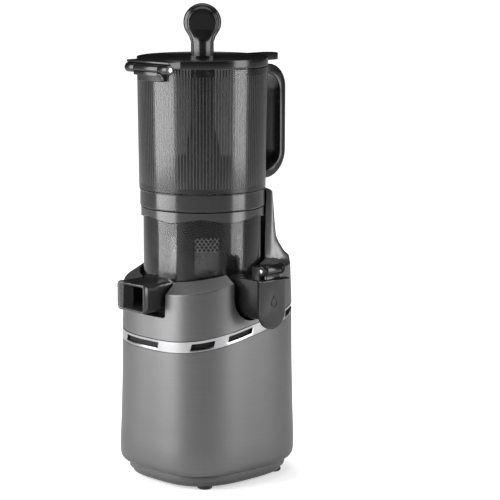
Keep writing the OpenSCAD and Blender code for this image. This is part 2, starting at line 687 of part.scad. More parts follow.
// electrics at the back
module control_board() color("darkgreen") at_base() {
    block([-board_w / 2, board_w / 2], [board_y, board_y + board_t], [board_z, board_z + board_h]);
    for (k = [0 : 3]) translate([board_w * (k - 1.5) / 4, board_y, board_z + board_h * 0.7])
        rotate([90, 0, 0]) cylinder(r = board_w * 0.06, h = board_w * (k % 2 == 0 ? 0.06 : 0.045));
    block([-board_w * 0.4, board_w * 0.1], [board_y - board_t * 3, board_y],
        [board_z + board_h * 0.15, board_z + board_h * 0.45]);
}
switch_low = shell_back(rocker_z - rocker_h * 0.85);
switch_high = shell_back(rocker_z + rocker_h * 0.85);
switch_y = (switch_low + switch_high) / 2 + shell_t * 0.03;
switch_lean = atan((switch_low - switch_high) / (rocker_h * 1.7));
switch_wall = rocker_w * 0.16;
switch_depth = rocker_w;
rocker_r = rocker_h * 0.5;
rocker_pin_y = switch_y - rocker_r * 0.3;
module at_switch() at_base() translate([rocker_x, rocker_pin_y, rocker_z]) rotate([switch_lean, 0, 0])
    translate([0, -rocker_pin_y, 0]) children();
module switch_housing() color("black") at_switch() difference() {
    union() {
        block([-rocker_w * 0.5 - switch_wall, rocker_w * 0.5 + switch_wall],
            [switch_y - switch_depth, switch_y + shell_t * 0.6],
            [-rocker_h * 0.5 - switch_wall, rocker_h * 0.5 + switch_wall]);
        block([-rocker_w * 0.85, rocker_w * 0.85], [switch_y, switch_y + shell_t * 0.6 ],
            [-rocker_h * 0.85, rocker_h * 0.85]);
    }
    block([-rocker_w * 0.5 - face_gap, rocker_w * 0.5 + face_gap],
        [switch_y - switch_depth + switch_wall, base_w],
        [-rocker_h * 0.5 - face_gap, rocker_h * 0.5 + face_gap]);
    along_x(-rocker_w * 0.5 - switch_wall * 0.6, rocker_pin_y, 0, switch_wall * 0.6,
        rocker_w + switch_wall * 1.2);
}
module rocker_switch() color("dimgray") at_switch() difference() {
    union() {
        intersection() {
            along_x(-rocker_w * 0.5, rocker_pin_y, 0, rocker_r - face_gap, rocker_w);
            block([-rocker_w, rocker_w], [rocker_pin_y - switch_wall, base_w], [-rocker_h, rocker_h]);
        }
        along_x(-rocker_w * 0.5 - switch_wall * 0.5, rocker_pin_y, 0, switch_wall * 0.6 - run_play,
            rocker_w + switch_wall);
    }
    along_x(-rocker_w, switch_y + rocker_r * 2.3, 0, rocker_r * 1.7, rocker_w * 2);
}
gland_y = shell_back(gland_z);
module cord_gland() color("black") at_base() {
    translate([gland_x, 0, gland_z]) rotate([-90, 0, 0]) {
        tube(gland_d / 2, gland_d * 0.3, gland_y - gland_d, gland_d + shell_t);
        tube(gland_d * 0.75, gland_d * 0.3, gland_y, shell_t * 1.6);
        tube(gland_d * 0.75, gland_d * 0.3, gland_y - shell_t * 3.4, shell_t);
    }
}

// juicing bowl with its ports, and what stands in it
port_w = chute_w - 2 * duct_t;
port_h = chute_h - 2 * duct_t;
neck_r = hex_af * 0.75;
bowl_in_r = bowl_r - bowl_t;
groove_h = collar_h * 0.4;
groove_z = bowl_top_z - collar_h * 0.85;
lug_out = bowl_t * 0.55;
lug_turns = [0, 120, 240];
spigot_r = bowl_in_r - face_gap;
lug_arc = 16;
module sector(outer, inner, z, h, from, to) translate([0, 0, z]) rotate(from)
    rotate_extrude(angle = to - from) translate([inner, 0]) square([outer - inner, h]);
module bowl() color("dimgray") difference() {
    at_bowl() difference() {
        union() {
            cylinder_between(bowl_r, bowl_z, bowl_top_z);
            cylinder_between(bowl_r + collar_out, collar_z, bowl_top_z);
        }
        cylinder_between(bowl_in_r, bowl_z + bowl_floor_t, bowl_top_z + overrun);
        cylinder_between(neck_r + run_play, 0, bowl_top_z);
        cylinder_between(bowl_in_r + lug_out + face_gap * 1.4, groove_z, groove_z + groove_h);
        for (a = lug_turns)
            sector(bowl_in_r + lug_out + face_gap, bowl_in_r - bowl_t, groove_z + groove_h / 2, collar_h,
                a + lock_turn - lug_arc * 0.6, a + lock_turn + lug_arc * 0.6);
    }
    at_base() {
        block([-chute_w / 2, chute_w / 2], [-base_w, -bowl_forward - strainer_d * 0.4],
            [chute_z, chute_z + chute_h]);
        spout_outline(0, bowl_in_r * 0.8, base_w, 0);
    }
}
module bowl_gasket() color("black") at_bowl()
    tube(neck_r * 1.6, neck_r + face_gap, bowl_z + bowl_floor_t, bowl_floor_t * 0.6);

// a duct along +Y towards the front, with its corners rounded by the radius given
module duct(half_w, low, high, from, to, r) {
    block([-half_w + r, half_w - r], [from, to], [low, high]);
    block([-half_w, half_w], [from, to], [low + r, high - r]);
    for (x = [-half_w + r, half_w - r], z = [low + r, high - r]) along_y(x, from, z, r, to - from);
}
duct_round = duct_t * 1.3;
chute_root = -bowl_forward - bowl_r - bowl_play * 2;
module pulp_chute() color("black") at_base() difference() {
    union() {
        duct(chute_w / 2, chute_z, chute_z + chute_h, -chute_reach, chute_root, duct_round);
        block([-chute_w / 2, chute_w / 2], [chute_root, -bowl_forward - strainer_d * 0.4],
            [chute_z, chute_z + chute_h]);
    }
    duct(port_w / 2, chute_z + duct_t, chute_z + chute_h - duct_t, -chute_reach - overrun, 0, duct_t * 0.5);
    translate([0, -bowl_forward, 0]) cylinder_between(strainer_d / 2 + face_gap, 0, rim_z * 2);
}

// the outline of the spout: flat on top, round below
module spout_outline(inset, from, to, rise_inset) {
    along_x(from, -bowl_forward, spout_axis_z, spout_r - inset, to - from);
    block([from, to], [-spout_r + inset - bowl_forward, spout_r - inset - bowl_forward],
        [spout_axis_z, spout_top - rise_inset]);
}
flap_x = spout_reach - flap_t;
spout_end = flap_x - face_gap;
hinge_z = spout_top + barrel_r * 1.9;
hinge_x = spout_reach - flap_t * 0.6;
ear_half = spout_r * 0.85;
knuckle_half = ear_half * 0.68;
flap_pin_r = flap_pin_d / 2;
module juice_spout() color("black") at_base() difference() {
    union() {
        spout_outline(0, bowl_in_r * 0.9, spout_end, 0);
        mirror_about_bowl() {
            along_y(hinge_x, knuckle_half + face_gap, hinge_z, barrel_r, ear_half - knuckle_half - face_gap);
            block([hinge_x - barrel_r * 1.6, spout_end], [knuckle_half + face_gap, ear_half],
                [spout_top - duct_t / 2, hinge_z + barrel_r * 0.7]);
        }
        block([hinge_x - barrel_r * 2.6, hinge_x - barrel_r * 1.5],
            [-ear_half - bowl_forward, ear_half - bowl_forward],
            [spout_top - duct_t / 2, hinge_z + barrel_r * 0.7]);
    }
    spout_outline(duct_t, 0, base_w, duct_t);
    translate([0, -bowl_forward, 0]) {
        cylinder_between(bowl_in_r, 0, rim_z * 2);
        along_y(hinge_x, -ear_half * 2, hinge_z, flap_pin_r, ear_half * 4);
    }
}
module mirror_about_bowl() translate([0, -bowl_forward, 0]) mirror_pair([0, 1, 0]) children();
flap_low_r = spout_r + face_gap;
flap_round_z = spout_top - flap_h + flap_low_r;
module spout_flap() color("black") at_base() translate([0, -bowl_forward, 0]) difference() {
    union() {
        along_x(flap_x, 0, flap_round_z, flap_low_r, flap_t);
        block([flap_x, spout_reach], [-flap_low_r, flap_low_r], [flap_round_z, spout_top + flap_t * 0.2]);
        block([flap_x, spout_reach + lip_out], [-flap_low_r - lip_out * 0.5, flap_low_r + lip_out * 0.5],
            [spout_top - flap_t * 0.2, spout_top + flap_t * 0.2]);
        along_y(hinge_x, -knuckle_half, hinge_z, barrel_r, knuckle_half * 2);
        block([flap_x, spout_reach - flap_t * 0.1], [-knuckle_half, knuckle_half], [spout_top, hinge_z]);
    }
    along_y(hinge_x, -base_w, hinge_z, flap_pin_r + run_play, base_w * 2);
    along_x(flap_x - overrun, 0, spout_axis_z, spout_r - duct_t * 0.5, flap_t * 0.3 + overrun);
    block([flap_x - overrun, flap_x + flap_t * 0.3], [-spout_r + duct_t / 2, spout_r - duct_t / 2],
        [spout_axis_z, spout_top - duct_t]);
}
module flap_seal() color("gray") at_base() translate([0, -bowl_forward, 0]) {
    along_x(flap_x, 0, spout_axis_z, spout_r - duct_t * 0.5, flap_t * 0.3);
    block([flap_x, flap_x + flap_t * 0.3], [-spout_r + duct_t / 2, spout_r - duct_t / 2],
        [spout_axis_z, spout_top - duct_t]);
}
module flap_pin() color("silver") at_base() translate([0, -bowl_forward, 0])
    along_y(hinge_x, -ear_half, hinge_z, flap_pin_r, ear_half * 2);

// strainer basket: a plastic frame with windows over a thin steel sleeve
strainer_r = strainer_d / 2;
strainer_z = bowl_z + bowl_floor_t;
strainer_top = collar_z - face_gap * 4;
window_z = chute_z + chute_h + duct_t;
window_turn = -36;
sleeve_t = strainer_t * 0.3;
sleeve_r = strainer_r - strainer_t;
base_hole_r = neck_r * 2;
module strainer_frame() color("dimgray") difference() {
    at_bowl() difference() {
        cylinder_between(strainer_r, strainer_z, strainer_top);
        cylinder_between(sleeve_r, strainer_z + strainer_t, strainer_top + overrun);
        cylinder_between(base_hole_r, 0, strainer_top);
        for (k = [0 : window_count - 1]) rotate(window_turn + k * 360 / window_count)
            block([0, strainer_d], [-window_w / 2, window_w / 2], [window_z, window_z + window_h]);
    }
    at_base() block([-port_w / 2, port_w / 2], [-base_w, -bowl_forward],
        [chute_z + duct_t, chute_z + chute_h - duct_t]);
}
module strainer_mesh() color("silver") at_bowl()
    tube(sleeve_r, sleeve_r - sleeve_t, window_z - strainer_t * 2, strainer_top - window_z + strainer_t);

// auger: tapered core with two helical flights, hexagon socket and a steel cutter
auger_r = sleeve_r - sleeve_t - auger_play;
auger_z = strainer_z + bowl_floor_t * 0.6 + face_gap;
socket_h = core_d * 0.5;
core_top_r = core_d * 0.26;
hub_top = auger_z + auger_h;
disc_z = strainer_z + strainer_t + face_gap * 3;
flight_turn = 300;
flight_slices = 40;
flight_steps = 4;
module flights() translate([0, 0, disc_z + flight_t * 0.8])
    linear_extrude(auger_h * 0.8, twist = -flight_turn, slices = flight_slices, segments = 0, scale = 0.8)
        for (a = [0, 180]) rotate(a) polygon(concat(
            [for (i = [0 : flight_steps]) polar(auger_r, i / flight_steps * arc_turn(flight_t, auger_r))],
            [for (i = [flight_steps : -1 : 0])
                polar(core_top_r, i / flight_steps * arc_turn(flight_t, core_top_r))]));
function arc_turn(length, r) = length / r * 180 / PI;
module auger() color("dimgray") at_bowl() difference() {
    union() {
        cylinder_between(auger_r, disc_z, disc_z + flight_t);
        translate([0, 0, disc_z + flight_t])
            cylinder(r1 = core_d / 2, r2 = core_top_r, h = hub_top - disc_z - flight_t);
        cylinder_between(base_hole_r - face_gap * 4, auger_z, disc_z + overrun);
        cylinder_between(neck_r, bowl_z, disc_z + overrun);
        flights();
    }
    cylinder_between(insert_r, 0, bowl_z + socket_h + seat_t);
}
insert_r = neck_r - seat_t * 0.3;
module auger_socket() color("silver") at_bowl() difference() {
    cylinder_between(insert_r, bowl_z, bowl_z + socket_h + seat_t);
    translate([0, 0, bowl_z - overrun])
        cylinder(d = hex_af / cos(30) + run_play * 4, h = socket_h + overrun, $fn = 6);
}
cutter_r = core_top_r * 2.6;
cutter_t = flight_t * 0.3;
module cutter_blade() color("silver") at_bowl() {
    cylinder_between(core_top_r * 0.9, hub_top, hub_top + cutter_h * 0.4);
    translate([0, 0, hub_top + cutter_h * 0.4])
        cylinder(r1 = core_top_r * 0.9, r2 = cutter_t, h = cutter_h * 0.6);
    for (a = [20, 200]) rotate(a) intersection() {
        block([0, cutter_r], [-cutter_t / 2, cutter_t / 2], [hub_top, hub_top + cutter_h * 0.8]);
        translate([0, 0, hub_top]) cylinder(r1 = cutter_r, r2 = core_top_r, h = cutter_h);
    }
}

// hopper: gasket, bayonet ring, drum, funnel, handle and the hinge's lower half
funnel_low_r = cutter_r + hopper_t * 2;
funnel_top_z = drum_z + hopper_h * 0.2;
funnel_low_z = drum_z - ring_h * 0.6;
ring_edge = ring_h * 0.28;
module hopper_gasket() color("black") at_bowl()
    tube(spigot_r, spigot_r - hopper_t, groove_z - hopper_t, hopper_t);
module hopper_ring() color("dimgray") at_bowl() {
    difference() {
        union() {
            cylinder_between(ring_r, ring_z + ring_edge, drum_z);
            translate([0, 0, ring_z]) cylinder(r1 = ring_r - hopper_t * 0.6, r2 = ring_r, h = ring_edge);
            cylinder_between(spigot_r, groove_z, drum_z);
        }
        cylinder_between(spigot_r - hopper_t, 0, drum_z + overrun);
        tube(ring_r - hopper_t, spigot_r, ring_z - overrun, ring_h - hopper_t + overrun);
    }
    for (a = lug_turns) sector(spigot_r + lug_out, spigot_r - hopper_t / 2, groove_z + face_gap,
        groove_h - face_gap * 2, a - lug_arc / 2, a + lug_arc / 2);
}
module hopper_drum() color("dimgray") at_bowl() difference() {
    translate([0, 0, drum_z]) cylinder(d1 = hopper_low_d, d2 = hopper_top_d, h = hopper_h);
    translate([0, 0, drum_z - overrun]) cylinder(d1 = hopper_low_d - 2 * hopper_t,
        d2 = hopper_top_d - 2 * hopper_t, h = hopper_h + 2 * overrun);
    for (z = handle_screw_zs) along_y(0, 0, z, screw_r, handle_screw_y);
}
drum_in_r = hopper_low_d / 2 - hopper_t;
funnel_h = funnel_top_z - funnel_low_z;
module hopper_funnel() color("black") at_bowl() difference() {
    union() {
        translate([0, 0, funnel_low_z])
            cylinder(r1 = funnel_low_r + hopper_t, r2 = drum_in_r - face_gap, h = funnel_h);
        cylinder_between(drum_in_r - face_gap, drum_z, drum_z + hopper_t);
    }
    translate([0, 0, funnel_low_z - overrun])
        cylinder(r1 = funnel_low_r, r2 = drum_in_r - hopper_t, h = funnel_h + overrun * 2);
}
function drum_r(z) = mix(hopper_low_d, hopper_top_d, (z - drum_z) / hopper_h) / 2;
handle_top = lid_z - face_gap * 8;
handle_low = handle_top - handle_h;
handle_in = drum_r(handle_low) + face_gap + handle_t / 2;
// a slab across the handle from one distance to another, its two far corners rounded
module handle_slab(half_w, from, reach, low, high, low_r, high_r) {
    block([-half_w, half_w], [from, reach], [low + low_r, high - high_r]);
    block([-half_w, half_w], [from, reach - low_r], [low, low + low_r]);
    block([-half_w, half_w], [from, reach - high_r], [high - high_r, high]);
    along_x(-half_w, reach - low_r, low + low_r, low_r, half_w * 2);
    along_x(-half_w, reach - high_r, high - high_r, high_r, half_w * 2);
}
module hopper_handle() color("black") at_bowl() difference() {
    handle_slab(handle_w / 2, 0, handle_reach, handle_low, handle_top, handle_t * 3.3, handle_t * 2.9);
    handle_slab(handle_w, handle_in, handle_reach - handle_t, handle_low + handle_t, handle_top - handle_t,
        handle_t * 2.3, handle_t * 2.5);
    translate([0, 0, drum_z - hopper_h]) cylinder(r1 = drum_r(drum_z - hopper_h) + face_gap,
        r2 = drum_r(lid_z + hopper_h) + face_gap, h = hopper_h * 3);
    for (z = handle_screw_zs) along_y(0, 0, z, screw_r, handle_screw_y);
}
handle_screw_zs = [handle_top - handle_t * 0.5, handle_low + handle_t * 0.8];
handle_screw_y = drum_r(lid_z) + handle_t;
module handle_screws() color("silver") at_bowl() for (z = handle_screw_zs)
    let (wall = drum_r(z) - hopper_t - face_gap) {
        along_y(0, wall - head_h, z, head_r, head_h);
        along_y(0, wall - head_h, z, screw_r, handle_screw_y - wall + head_h);
    }
magnet_r = ring_h * 0.2;
magnet_z = ring_z + ring_h * 0.45;
module hopper_magnet() color("silver") at_bowl() along_y(0, spigot_r, magnet_z, magnet_r, hopper_t);

// lid hinge: the hopper's middle knuckle between the lid's two outer ones
hinge_axis_z = lid_z + hinge_pin_d * 0.1;
hinge_reach = hopper_top_d / 2 + hinge_out;
knuckle_r = hinge_pin_d * 1.15;
inner_knuckle = hinge_w * 0.28;
module hinge_bracket() color("black") at_bowl() difference() {
    union() {
        along_x(-inner_knuckle, -hinge_reach, hinge_axis_z, knuckle_r, inner_knuckle * 2);
        block([-inner_knuckle, inner_knuckle], [-hinge_reach, -drum_r(lid_z) * 0.9],
            [hinge_axis_z - knuckle_r * 2.6, hinge_axis_z - knuckle_r * 0.4]);
        block([-inner_knuckle, inner_knuckle], [-hinge_reach - knuckle_r, -hinge_reach],
            [hinge_axis_z - knuckle_r * 1.4, hinge_axis_z - knuckle_r * 0.6]);
    }
    translate([0, 0, drum_z])
        cylinder(r1 = drum_r(drum_z) + face_gap, r2 = drum_r(lid_z) + face_gap, h = hopper_h);
    cylinder_between(drum_r(lid_z) + face_gap, lid_z - overrun, lid_z * 2);
    along_x(-hinge_w, -hinge_reach, hinge_axis_z, hinge_pin_d / 2 + run_play, hinge_w * 2);
}
module lid_hinge_pin() color("silver") at_bowl()
    along_x(-hinge_w / 2, -hinge_reach, hinge_axis_z, hinge_pin_d / 2, hinge_w);
lid_r = hopper_top_d / 2 + face_gap;
collar_r = stem_d / 2 + lid_t * 1.4;
collar_top = lid_top_z + lid_t * 0.4;
tab_z = lid_z + lid_h * 0.14;
tab_t = lid_h * 0.78;
module lid() color("dimgray") at_bowl() difference() {
    union() {
        cylinder_between(lid_r, lid_z + face_gap, lid_top_z);
        block([-tab_w / 2, tab_w / 2], [0, tab_reach - tab_w / 2], [tab_z, tab_z + tab_t]);
        translate([0, tab_reach - tab_w / 2, tab_z]) cylinder(d = tab_w, h = tab_t);
        mirror_pair([1, 0, 0]) {
            along_x(inner_knuckle + face_gap, -hinge_reach, hinge_axis_z, knuckle_r,
                hinge_w / 2 - inner_knuckle - face_gap);
            block([inner_knuckle + face_gap, hinge_w / 2], [-hinge_reach, -lid_r * 0.8],
                [lid_z + face_gap, lid_top_z - lid_t * 0.4]);
        }
        block([-hinge_w / 2, hinge_w / 2], [-hinge_reach - knuckle_r * 0.4, -lid_r * 0.8],
            [hinge_axis_z + knuckle_r + face_gap, lid_top_z - lid_t * 0.4]);
    }
    cylinder_between(drum_r(lid_z) - hopper_t * 2, 0, lid_top_z - lid_t);
    cylinder_between(drum_r(lid_z) - hopper_t, lid_top_z - lid_t * 0.4, lid_z * 2);
    cylinder_between(collar_r, 0, lid_z * 2);
    along_x(-hinge_w, -hinge_reach, hinge_axis_z, hinge_pin_d / 2, hinge_w * 2);
    along_x(-inner_knuckle - face_gap, -hinge_reach, hinge_axis_z, knuckle_r + face_gap,
        inner_knuckle * 2 + face_gap * 2);
}
module pusher_collar() color("black") at_bowl()
    tube(collar_r, stem_d / 2 + run_play, lid_top_z - lid_t, collar_top - lid_top_z + lid_t);

// pusher: round stem, flared foot and a flat paddle turned to the corner
pusher_turn = 45;
pusher_top = lid_top_z + pusher_out;
pusher_low = pusher_top - pusher_h;
paddle_z = pusher_top - paddle_d / 2;
foot_rim_h = push_foot_d * 0.4;
flare_h = push_foot_d * 0.6;
stem_r = stem_d / 2;
module pusher() color("black") at_bowl() {
    cylinder_between(stem_r, pusher_low + foot_rim_h + flare_h, paddle_z - paddle_d * 0.48);
    translate([0, 0, pusher_low + foot_rim_h]) cylinder(r1 = push_foot_d / 2, r2 = stem_r, h = flare_h);
    cylinder_between(push_foot_d / 2, pusher_low + foot_rim_h * 0.25, pusher_low + foot_rim_h);
    translate([0, 0, paddle_z]) rotate([0, 0, pusher_turn]) rotate([90, 0, 0]) rotate_extrude() paddle_half();
    translate([0, 0, paddle_z - paddle_d * 0.48])
        cylinder(r1 = stem_r, r2 = paddle_t * 0.5, h = paddle_d * 0.16);
    cylinder_between(paddle_t * 0.5, paddle_z - paddle_d * 0.32, paddle_z);
}
module paddle_half() {
    rim = paddle_t * 0.5;
    translate([paddle_d / 2 - rim * 0.5, 0]) circle(r = rim * 0.5);
    translate([0, -rim * 0.5]) square([paddle_d / 2 - rim * 0.5, rim]);
    translate([0, -rim]) square([paddle_d * 0.36, rim * 2]);
}
module pusher_tip() color("gray") at_bowl()
    cylinder_between(push_foot_d / 2 - hopper_t * 0.5, pusher_low, pusher_low + foot_rim_h * 0.25);

rubber_feet();
base_plate();
base_screws();
base_shell();
trim_band();
vent_liner();
upper_shell();
bowl_seat();
shaft_seal();
interlock_sensor();
gearbox_plate();
gearbox_cover();
gearbox_screws();
output_bearings();
output_gear();
output_shaft();
idler_pin();
idler_gear();
motor_can();
stator();
stator_windings();
motor_bearings();
motor_shaft();
armature();
motor_pinion();
cooling_fan();
control_board();
switch_housing();
rocker_switch();
cord_plate();
cord_gland();
bowl();
bowl_gasket();
pulp_chute();
juice_spout();
spout_flap();
flap_seal();
flap_pin();
strainer_frame();
strainer_mesh();
auger();
auger_socket();
cutter_blade();
hopper_gasket();
hopper_ring();
hopper_drum();
hopper_funnel();
hopper_handle();
handle_screws();
hopper_magnet();
hinge_bracket();
lid_hinge_pin();
lid();
pusher_collar();
pusher();
pusher_tip();
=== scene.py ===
import bpy, bmesh, json, math
from mathutils import Matrix, Vector


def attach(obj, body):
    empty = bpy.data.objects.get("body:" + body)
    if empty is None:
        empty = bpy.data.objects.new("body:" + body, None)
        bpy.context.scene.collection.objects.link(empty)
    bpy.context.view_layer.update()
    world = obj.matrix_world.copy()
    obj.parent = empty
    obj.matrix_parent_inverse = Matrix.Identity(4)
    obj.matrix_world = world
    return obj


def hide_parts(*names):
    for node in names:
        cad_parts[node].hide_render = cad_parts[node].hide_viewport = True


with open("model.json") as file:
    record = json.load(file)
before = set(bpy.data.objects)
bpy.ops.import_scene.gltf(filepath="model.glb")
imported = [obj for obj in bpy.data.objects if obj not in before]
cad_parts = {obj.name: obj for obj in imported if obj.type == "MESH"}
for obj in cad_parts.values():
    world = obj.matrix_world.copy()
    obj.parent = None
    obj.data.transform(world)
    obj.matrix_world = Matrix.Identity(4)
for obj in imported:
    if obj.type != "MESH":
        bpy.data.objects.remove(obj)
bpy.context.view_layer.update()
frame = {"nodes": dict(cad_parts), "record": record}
mm = 0.001
scene = bpy.context.scene

# shared plan of the base, in millimetres like every size below
plan = {"x": -16.0, "y": 1.5, "bowlForward": 7.0, "half": 80.0, "deep": 88.5, "power": 2.9,
        "bandSlope": 0.183, "rise": 0.13, "arc": 680.0}
bowlAxis = (plan["x"], plan["y"] - plan["bowlForward"])
toBowl = Matrix.Translation((bowlAxis[0] * mm, bowlAxis[1] * mm, 0))


def mix(a, b, s):
    return a + (b - a) * s


def smoothStep(u):
    u = min(1, max(0, u))
    return u * u * (3 - 2 * u)


def rise(y):
    # how much higher the shoulder and its rim stand at this depth
    return plan["rise"] * y - y * y / (2 * plan["arc"])


def bandRise(y):
    return plan["bandSlope"] * y


def planPoint(angle, half):
    # a point of the base's squircle outline
    p = plan["power"]
    c, s = math.cos(angle), math.sin(angle)
    r = half / (abs(c) ** p + abs(s) ** p) ** (1 / p)
    return r * c, r * s * plan["deep"] / plan["half"]


def wallAngle(degrees):
    # the plan angle whose point lies in this direction
    a = math.radians(degrees)
    return math.atan2(math.sin(a) * plan["half"], math.cos(a) * plan["deep"])


# mesh helpers
def link(name, mesh):
    piece = bpy.data.objects.new(name, mesh)
    scene.collection.objects.link(piece)
    return piece


def tidyMesh(mesh, turn=True, gap=2e-6):
    bm = bmesh.new()
    bm.from_mesh(mesh)
    bmesh.ops.remove_doubles(bm, verts=bm.verts, dist=gap)
    bmesh.ops.dissolve_degenerate(bm, edges=bm.edges, dist=1e-7)
    if turn:
        bmesh.ops.recalc_face_normals(bm, faces=bm.faces)
    bm.to_mesh(mesh)
    bm.free()


def meshPiece(name, points, faces):
    mesh = bpy.data.meshes.new(name)
    mesh.from_pydata([Vector(p) * mm for p in points], [], faces)
    tidyMesh(mesh)
    return link(name, mesh)


def ringSkin(name, rings, capped=False):
    # a skin over rings of points, closed by two end faces or by joining the last ring to the first
    n, m = len(rings[0]), len(rings)
    faces = [(j * n + i, j * n + (i + 1) % n, (j + 1) % m * n + (i + 1) % n, (j + 1) % m * n + i)
             for j in range(m - 1 if capped else m) for i in range(n)]
    if capped:
        faces += [tuple(range(n)), tuple(range((m - 1) * n, m * n))]
    return meshPiece(name, [p for ring in rings for p in ring], faces)


def settle(piece):
    # the modifiers' result becomes the piece's plain mesh
    graph = bpy.context.evaluated_depsgraph_get()
    fresh = bpy.data.meshes.new_from_object(piece.evaluated_get(graph), depsgraph=graph)
    piece.modifiers.clear()
    piece.data = fresh
    return piece


def carve(piece, *cutters):
    for cutter in cutters:
        cut = piece.modifiers.new("carve", "BOOLEAN")
        cut.operation, cut.solver, cut.object = "DIFFERENCE", "EXACT", cutter
        settle(piece)
        bpy.data.objects.remove(cutter)
    return piece


def soften(piece, width, steps=2, angle=32):
    edge = piece.modifiers.new("soften", "BEVEL")
    edge.width, edge.segments = width * mm, steps
    edge.limit_method, edge.angle_limit = "ANGLE", math.radians(angle)
    edge.use_clamp_overlap, edge.miter_outer = False, "MITER_ARC"
    return settle(piece)


def polish(piece, angle):
    piece.data.shade_smooth()
    piece.data.set_sharp_from_angle(angle=math.radians(angle))


def join(name, parts):
    bm = bmesh.new()
    for part in parts:
        bm.from_mesh(part.data)
        bpy.data.objects.remove(part)
    mesh = bpy.data.meshes.new(name)
    bm.to_mesh(mesh)
    bm.free()
    return link(name, mesh)


def fillet(corners, steps=4):
    # corners of a closed outline as (x, y, radius)
    out = []
    for i, (x, y, r) in enumerate(corners):
        if not r:
            out.append((x, y))
            continue
        p = Vector((x, y))
        a = (Vector(corners[i - 1][:2]) - p).normalized()
        b = (Vector(corners[(i + 1) % len(corners)][:2]) - p).normalized()
        half = a.angle(b) / 2
        centre = p + (a + b).normalized() * (r / math.sin(half))
        start, end = p + a * (r / math.tan(half)) - centre, p + b * (r / math.tan(half)) - centre
        for k in range(steps + 1):
            out.append(tuple(centre + start.lerp(end, k / steps).normalized() * r))
    return out


def roundedBox(left, right, low, high, r, steps=4):
    return fillet([(left, low, r), (right, low, r), (right, high, r), (left, high, r)], steps)


def archway(centre, level, r, top, steps):
    # an opening with a half round foot and straight sides up to its top
    turns = [math.pi * (k / steps - 0.5) for k in range(steps + 1)]
    foot = [(centre + r * math.sin(t), level - r * math.cos(t)) for t in turns]
    return foot + [(centre + r, top), (centre - r, top)]


def smoothLine(marks, parts):
    # a smooth line through the marks, with this many parts from each mark to the next
    line = []
    for k in range(len(marks) - 1):
        a, b, c, d = (Vector(marks[min(max(k + j, 0), len(marks) - 1)]) for j in (-1, 0, 1, 2))
        for i in range(parts):
            t = i / parts
            line.append(0.5 * (2 * b + (c - a) * t + (2 * a - 5 * b + 4 * c - d) * t * t
                               + (3 * b - a - 3 * c + d) * t ** 3))
    return line + [Vector(marks[-1])]


def turned(name, profile, steps=128):
    # a closed outline of (radius, height) turned about the bowl's axis
    turns = [2 * math.pi * i / steps for i in range(steps)]
    x, y = bowlAxis
    rings = [[(x + r * math.cos(t), y + r * math.sin(t), h) for t in turns] for r, h in profile]
    return ringSkin(name, rings)


def prism(name, outline, axis, low, high):
    # an outline of (u, v) carried along an axis; X gives (y, z), Y gives (x, z), Z gives (x, y)
    spots = {"X": lambda u, v, h: (h, u, v), "Y": lambda u, v, h: (u, h, v), "Z": lambda u, v, h: (u, v, h)}
    spot = spots[axis]
    return ringSkin(name, [[spot(u, v, h) for u, v in outline] for h in (low, high)], capped=True)


def block(name, x, y, z):
    return prism(name, [(x[0], y[0]), (x[1], y[0]), (x[1], y[1]), (x[0], y[1])], "Z", z[0], z[1])


def dress(name, node, width, steps=2):
    # a softened copy of a CAD node, merged first because its triangles are loose
    mesh = frame["nodes"][node].data.copy()
    mesh.materials.clear()
    bm = bmesh.new()
    bm.from_mesh(mesh)
    bmesh.ops.remove_doubles(bm, verts=bm.verts, dist=4e-6)
    bmesh.ops.dissolve_limit(bm, angle_limit=math.radians(2), verts=bm.verts, edges=bm.edges)
    bm.to_mesh(mesh)
    bm.free()
    piece = link(name, mesh)
    return soften(piece, width, steps) if width else piece


def place(piece, material, body, nodes=(), angle=38):
    piece.data.materials.clear()
    piece.data.materials.append(material)
    polish(piece, angle)
    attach(piece, body)
    if nodes:
        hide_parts(*nodes)
    return piece


# node helpers
def addNode(tree, kind, **values):
    node = tree.nodes.new(kind)
    for key, value in values.items():
        setattr(node, key, value)
    return node


def wire(tree, source, target):
    tree.links.new(source, target)


def feed(tree, node, values):
    # each input in turn gets a number or a link
    for k, value in enumerate(values):
        if isinstance(value, (int, float)):
            node.inputs[k].default_value = value
        else:
            wire(tree, value, node.inputs[k])
    return node.outputs[0]


def field(tree, operation, *values):
    return feed(tree, addNode(tree, "ShaderNodeMath", operation=operation), values)


def combine(tree, *values):
    return feed(tree, addNode(tree, "ShaderNodeCombineXYZ"), values)


def newTree(name, sockets):
    tree = bpy.data.node_groups.new(name, "GeometryNodeTree")
    tree.interface.new_socket("Geometry", in_out="OUTPUT", socket_type="NodeSocketGeometry")
    for label, kind, value in sockets:
        item = tree.interface.new_socket(label, in_out="INPUT", socket_type="NodeSocket" + kind)
        if value is not None:
            item.default_value = value
    return tree, addNode(tree, "NodeGroupInput").outputs, addNode(tree, "NodeGroupOutput").inputs[0]


def standRound(tree, shape, count, turn, radius, height, tilt):
    # copies of a shape on points round the Z axis, each tilted and turned to face outwards
    spots = addNode(tree, "GeometryNodePoints")
    wire(tree, count, spots.inputs["Count"])
    x, y = (field(tree, "MULTIPLY", field(tree, way, turn), radius) for way in ("COSINE", "SINE"))
    wire(tree, combine(tree, x, y, height), spots.inputs["Position"])
    stand = addNode(tree, "GeometryNodeInstanceOnPoints")
    wire(tree, spots.outputs[0], stand.inputs["Points"])
    wire(tree, shape, stand.inputs["Instance"])
    wire(tree, combine(tree, 0.0, tilt, turn), stand.inputs["Rotation"])
    return stand.outputs[0]


def closeTree(tree, source, ins, out):
    # every tree ends in real geometry with its finish set
    real, paint = addNode(tree, "GeometryNodeRealizeInstances"), addNode(tree, "GeometryNodeSetMaterial")
    wire(tree, source, real.inputs[0])
    wire(tree, real.outputs[0], paint.inputs[0])
    wire(tree, ins["Finish"], paint.inputs["Material"])
    wire(tree, paint.outputs[0], out)


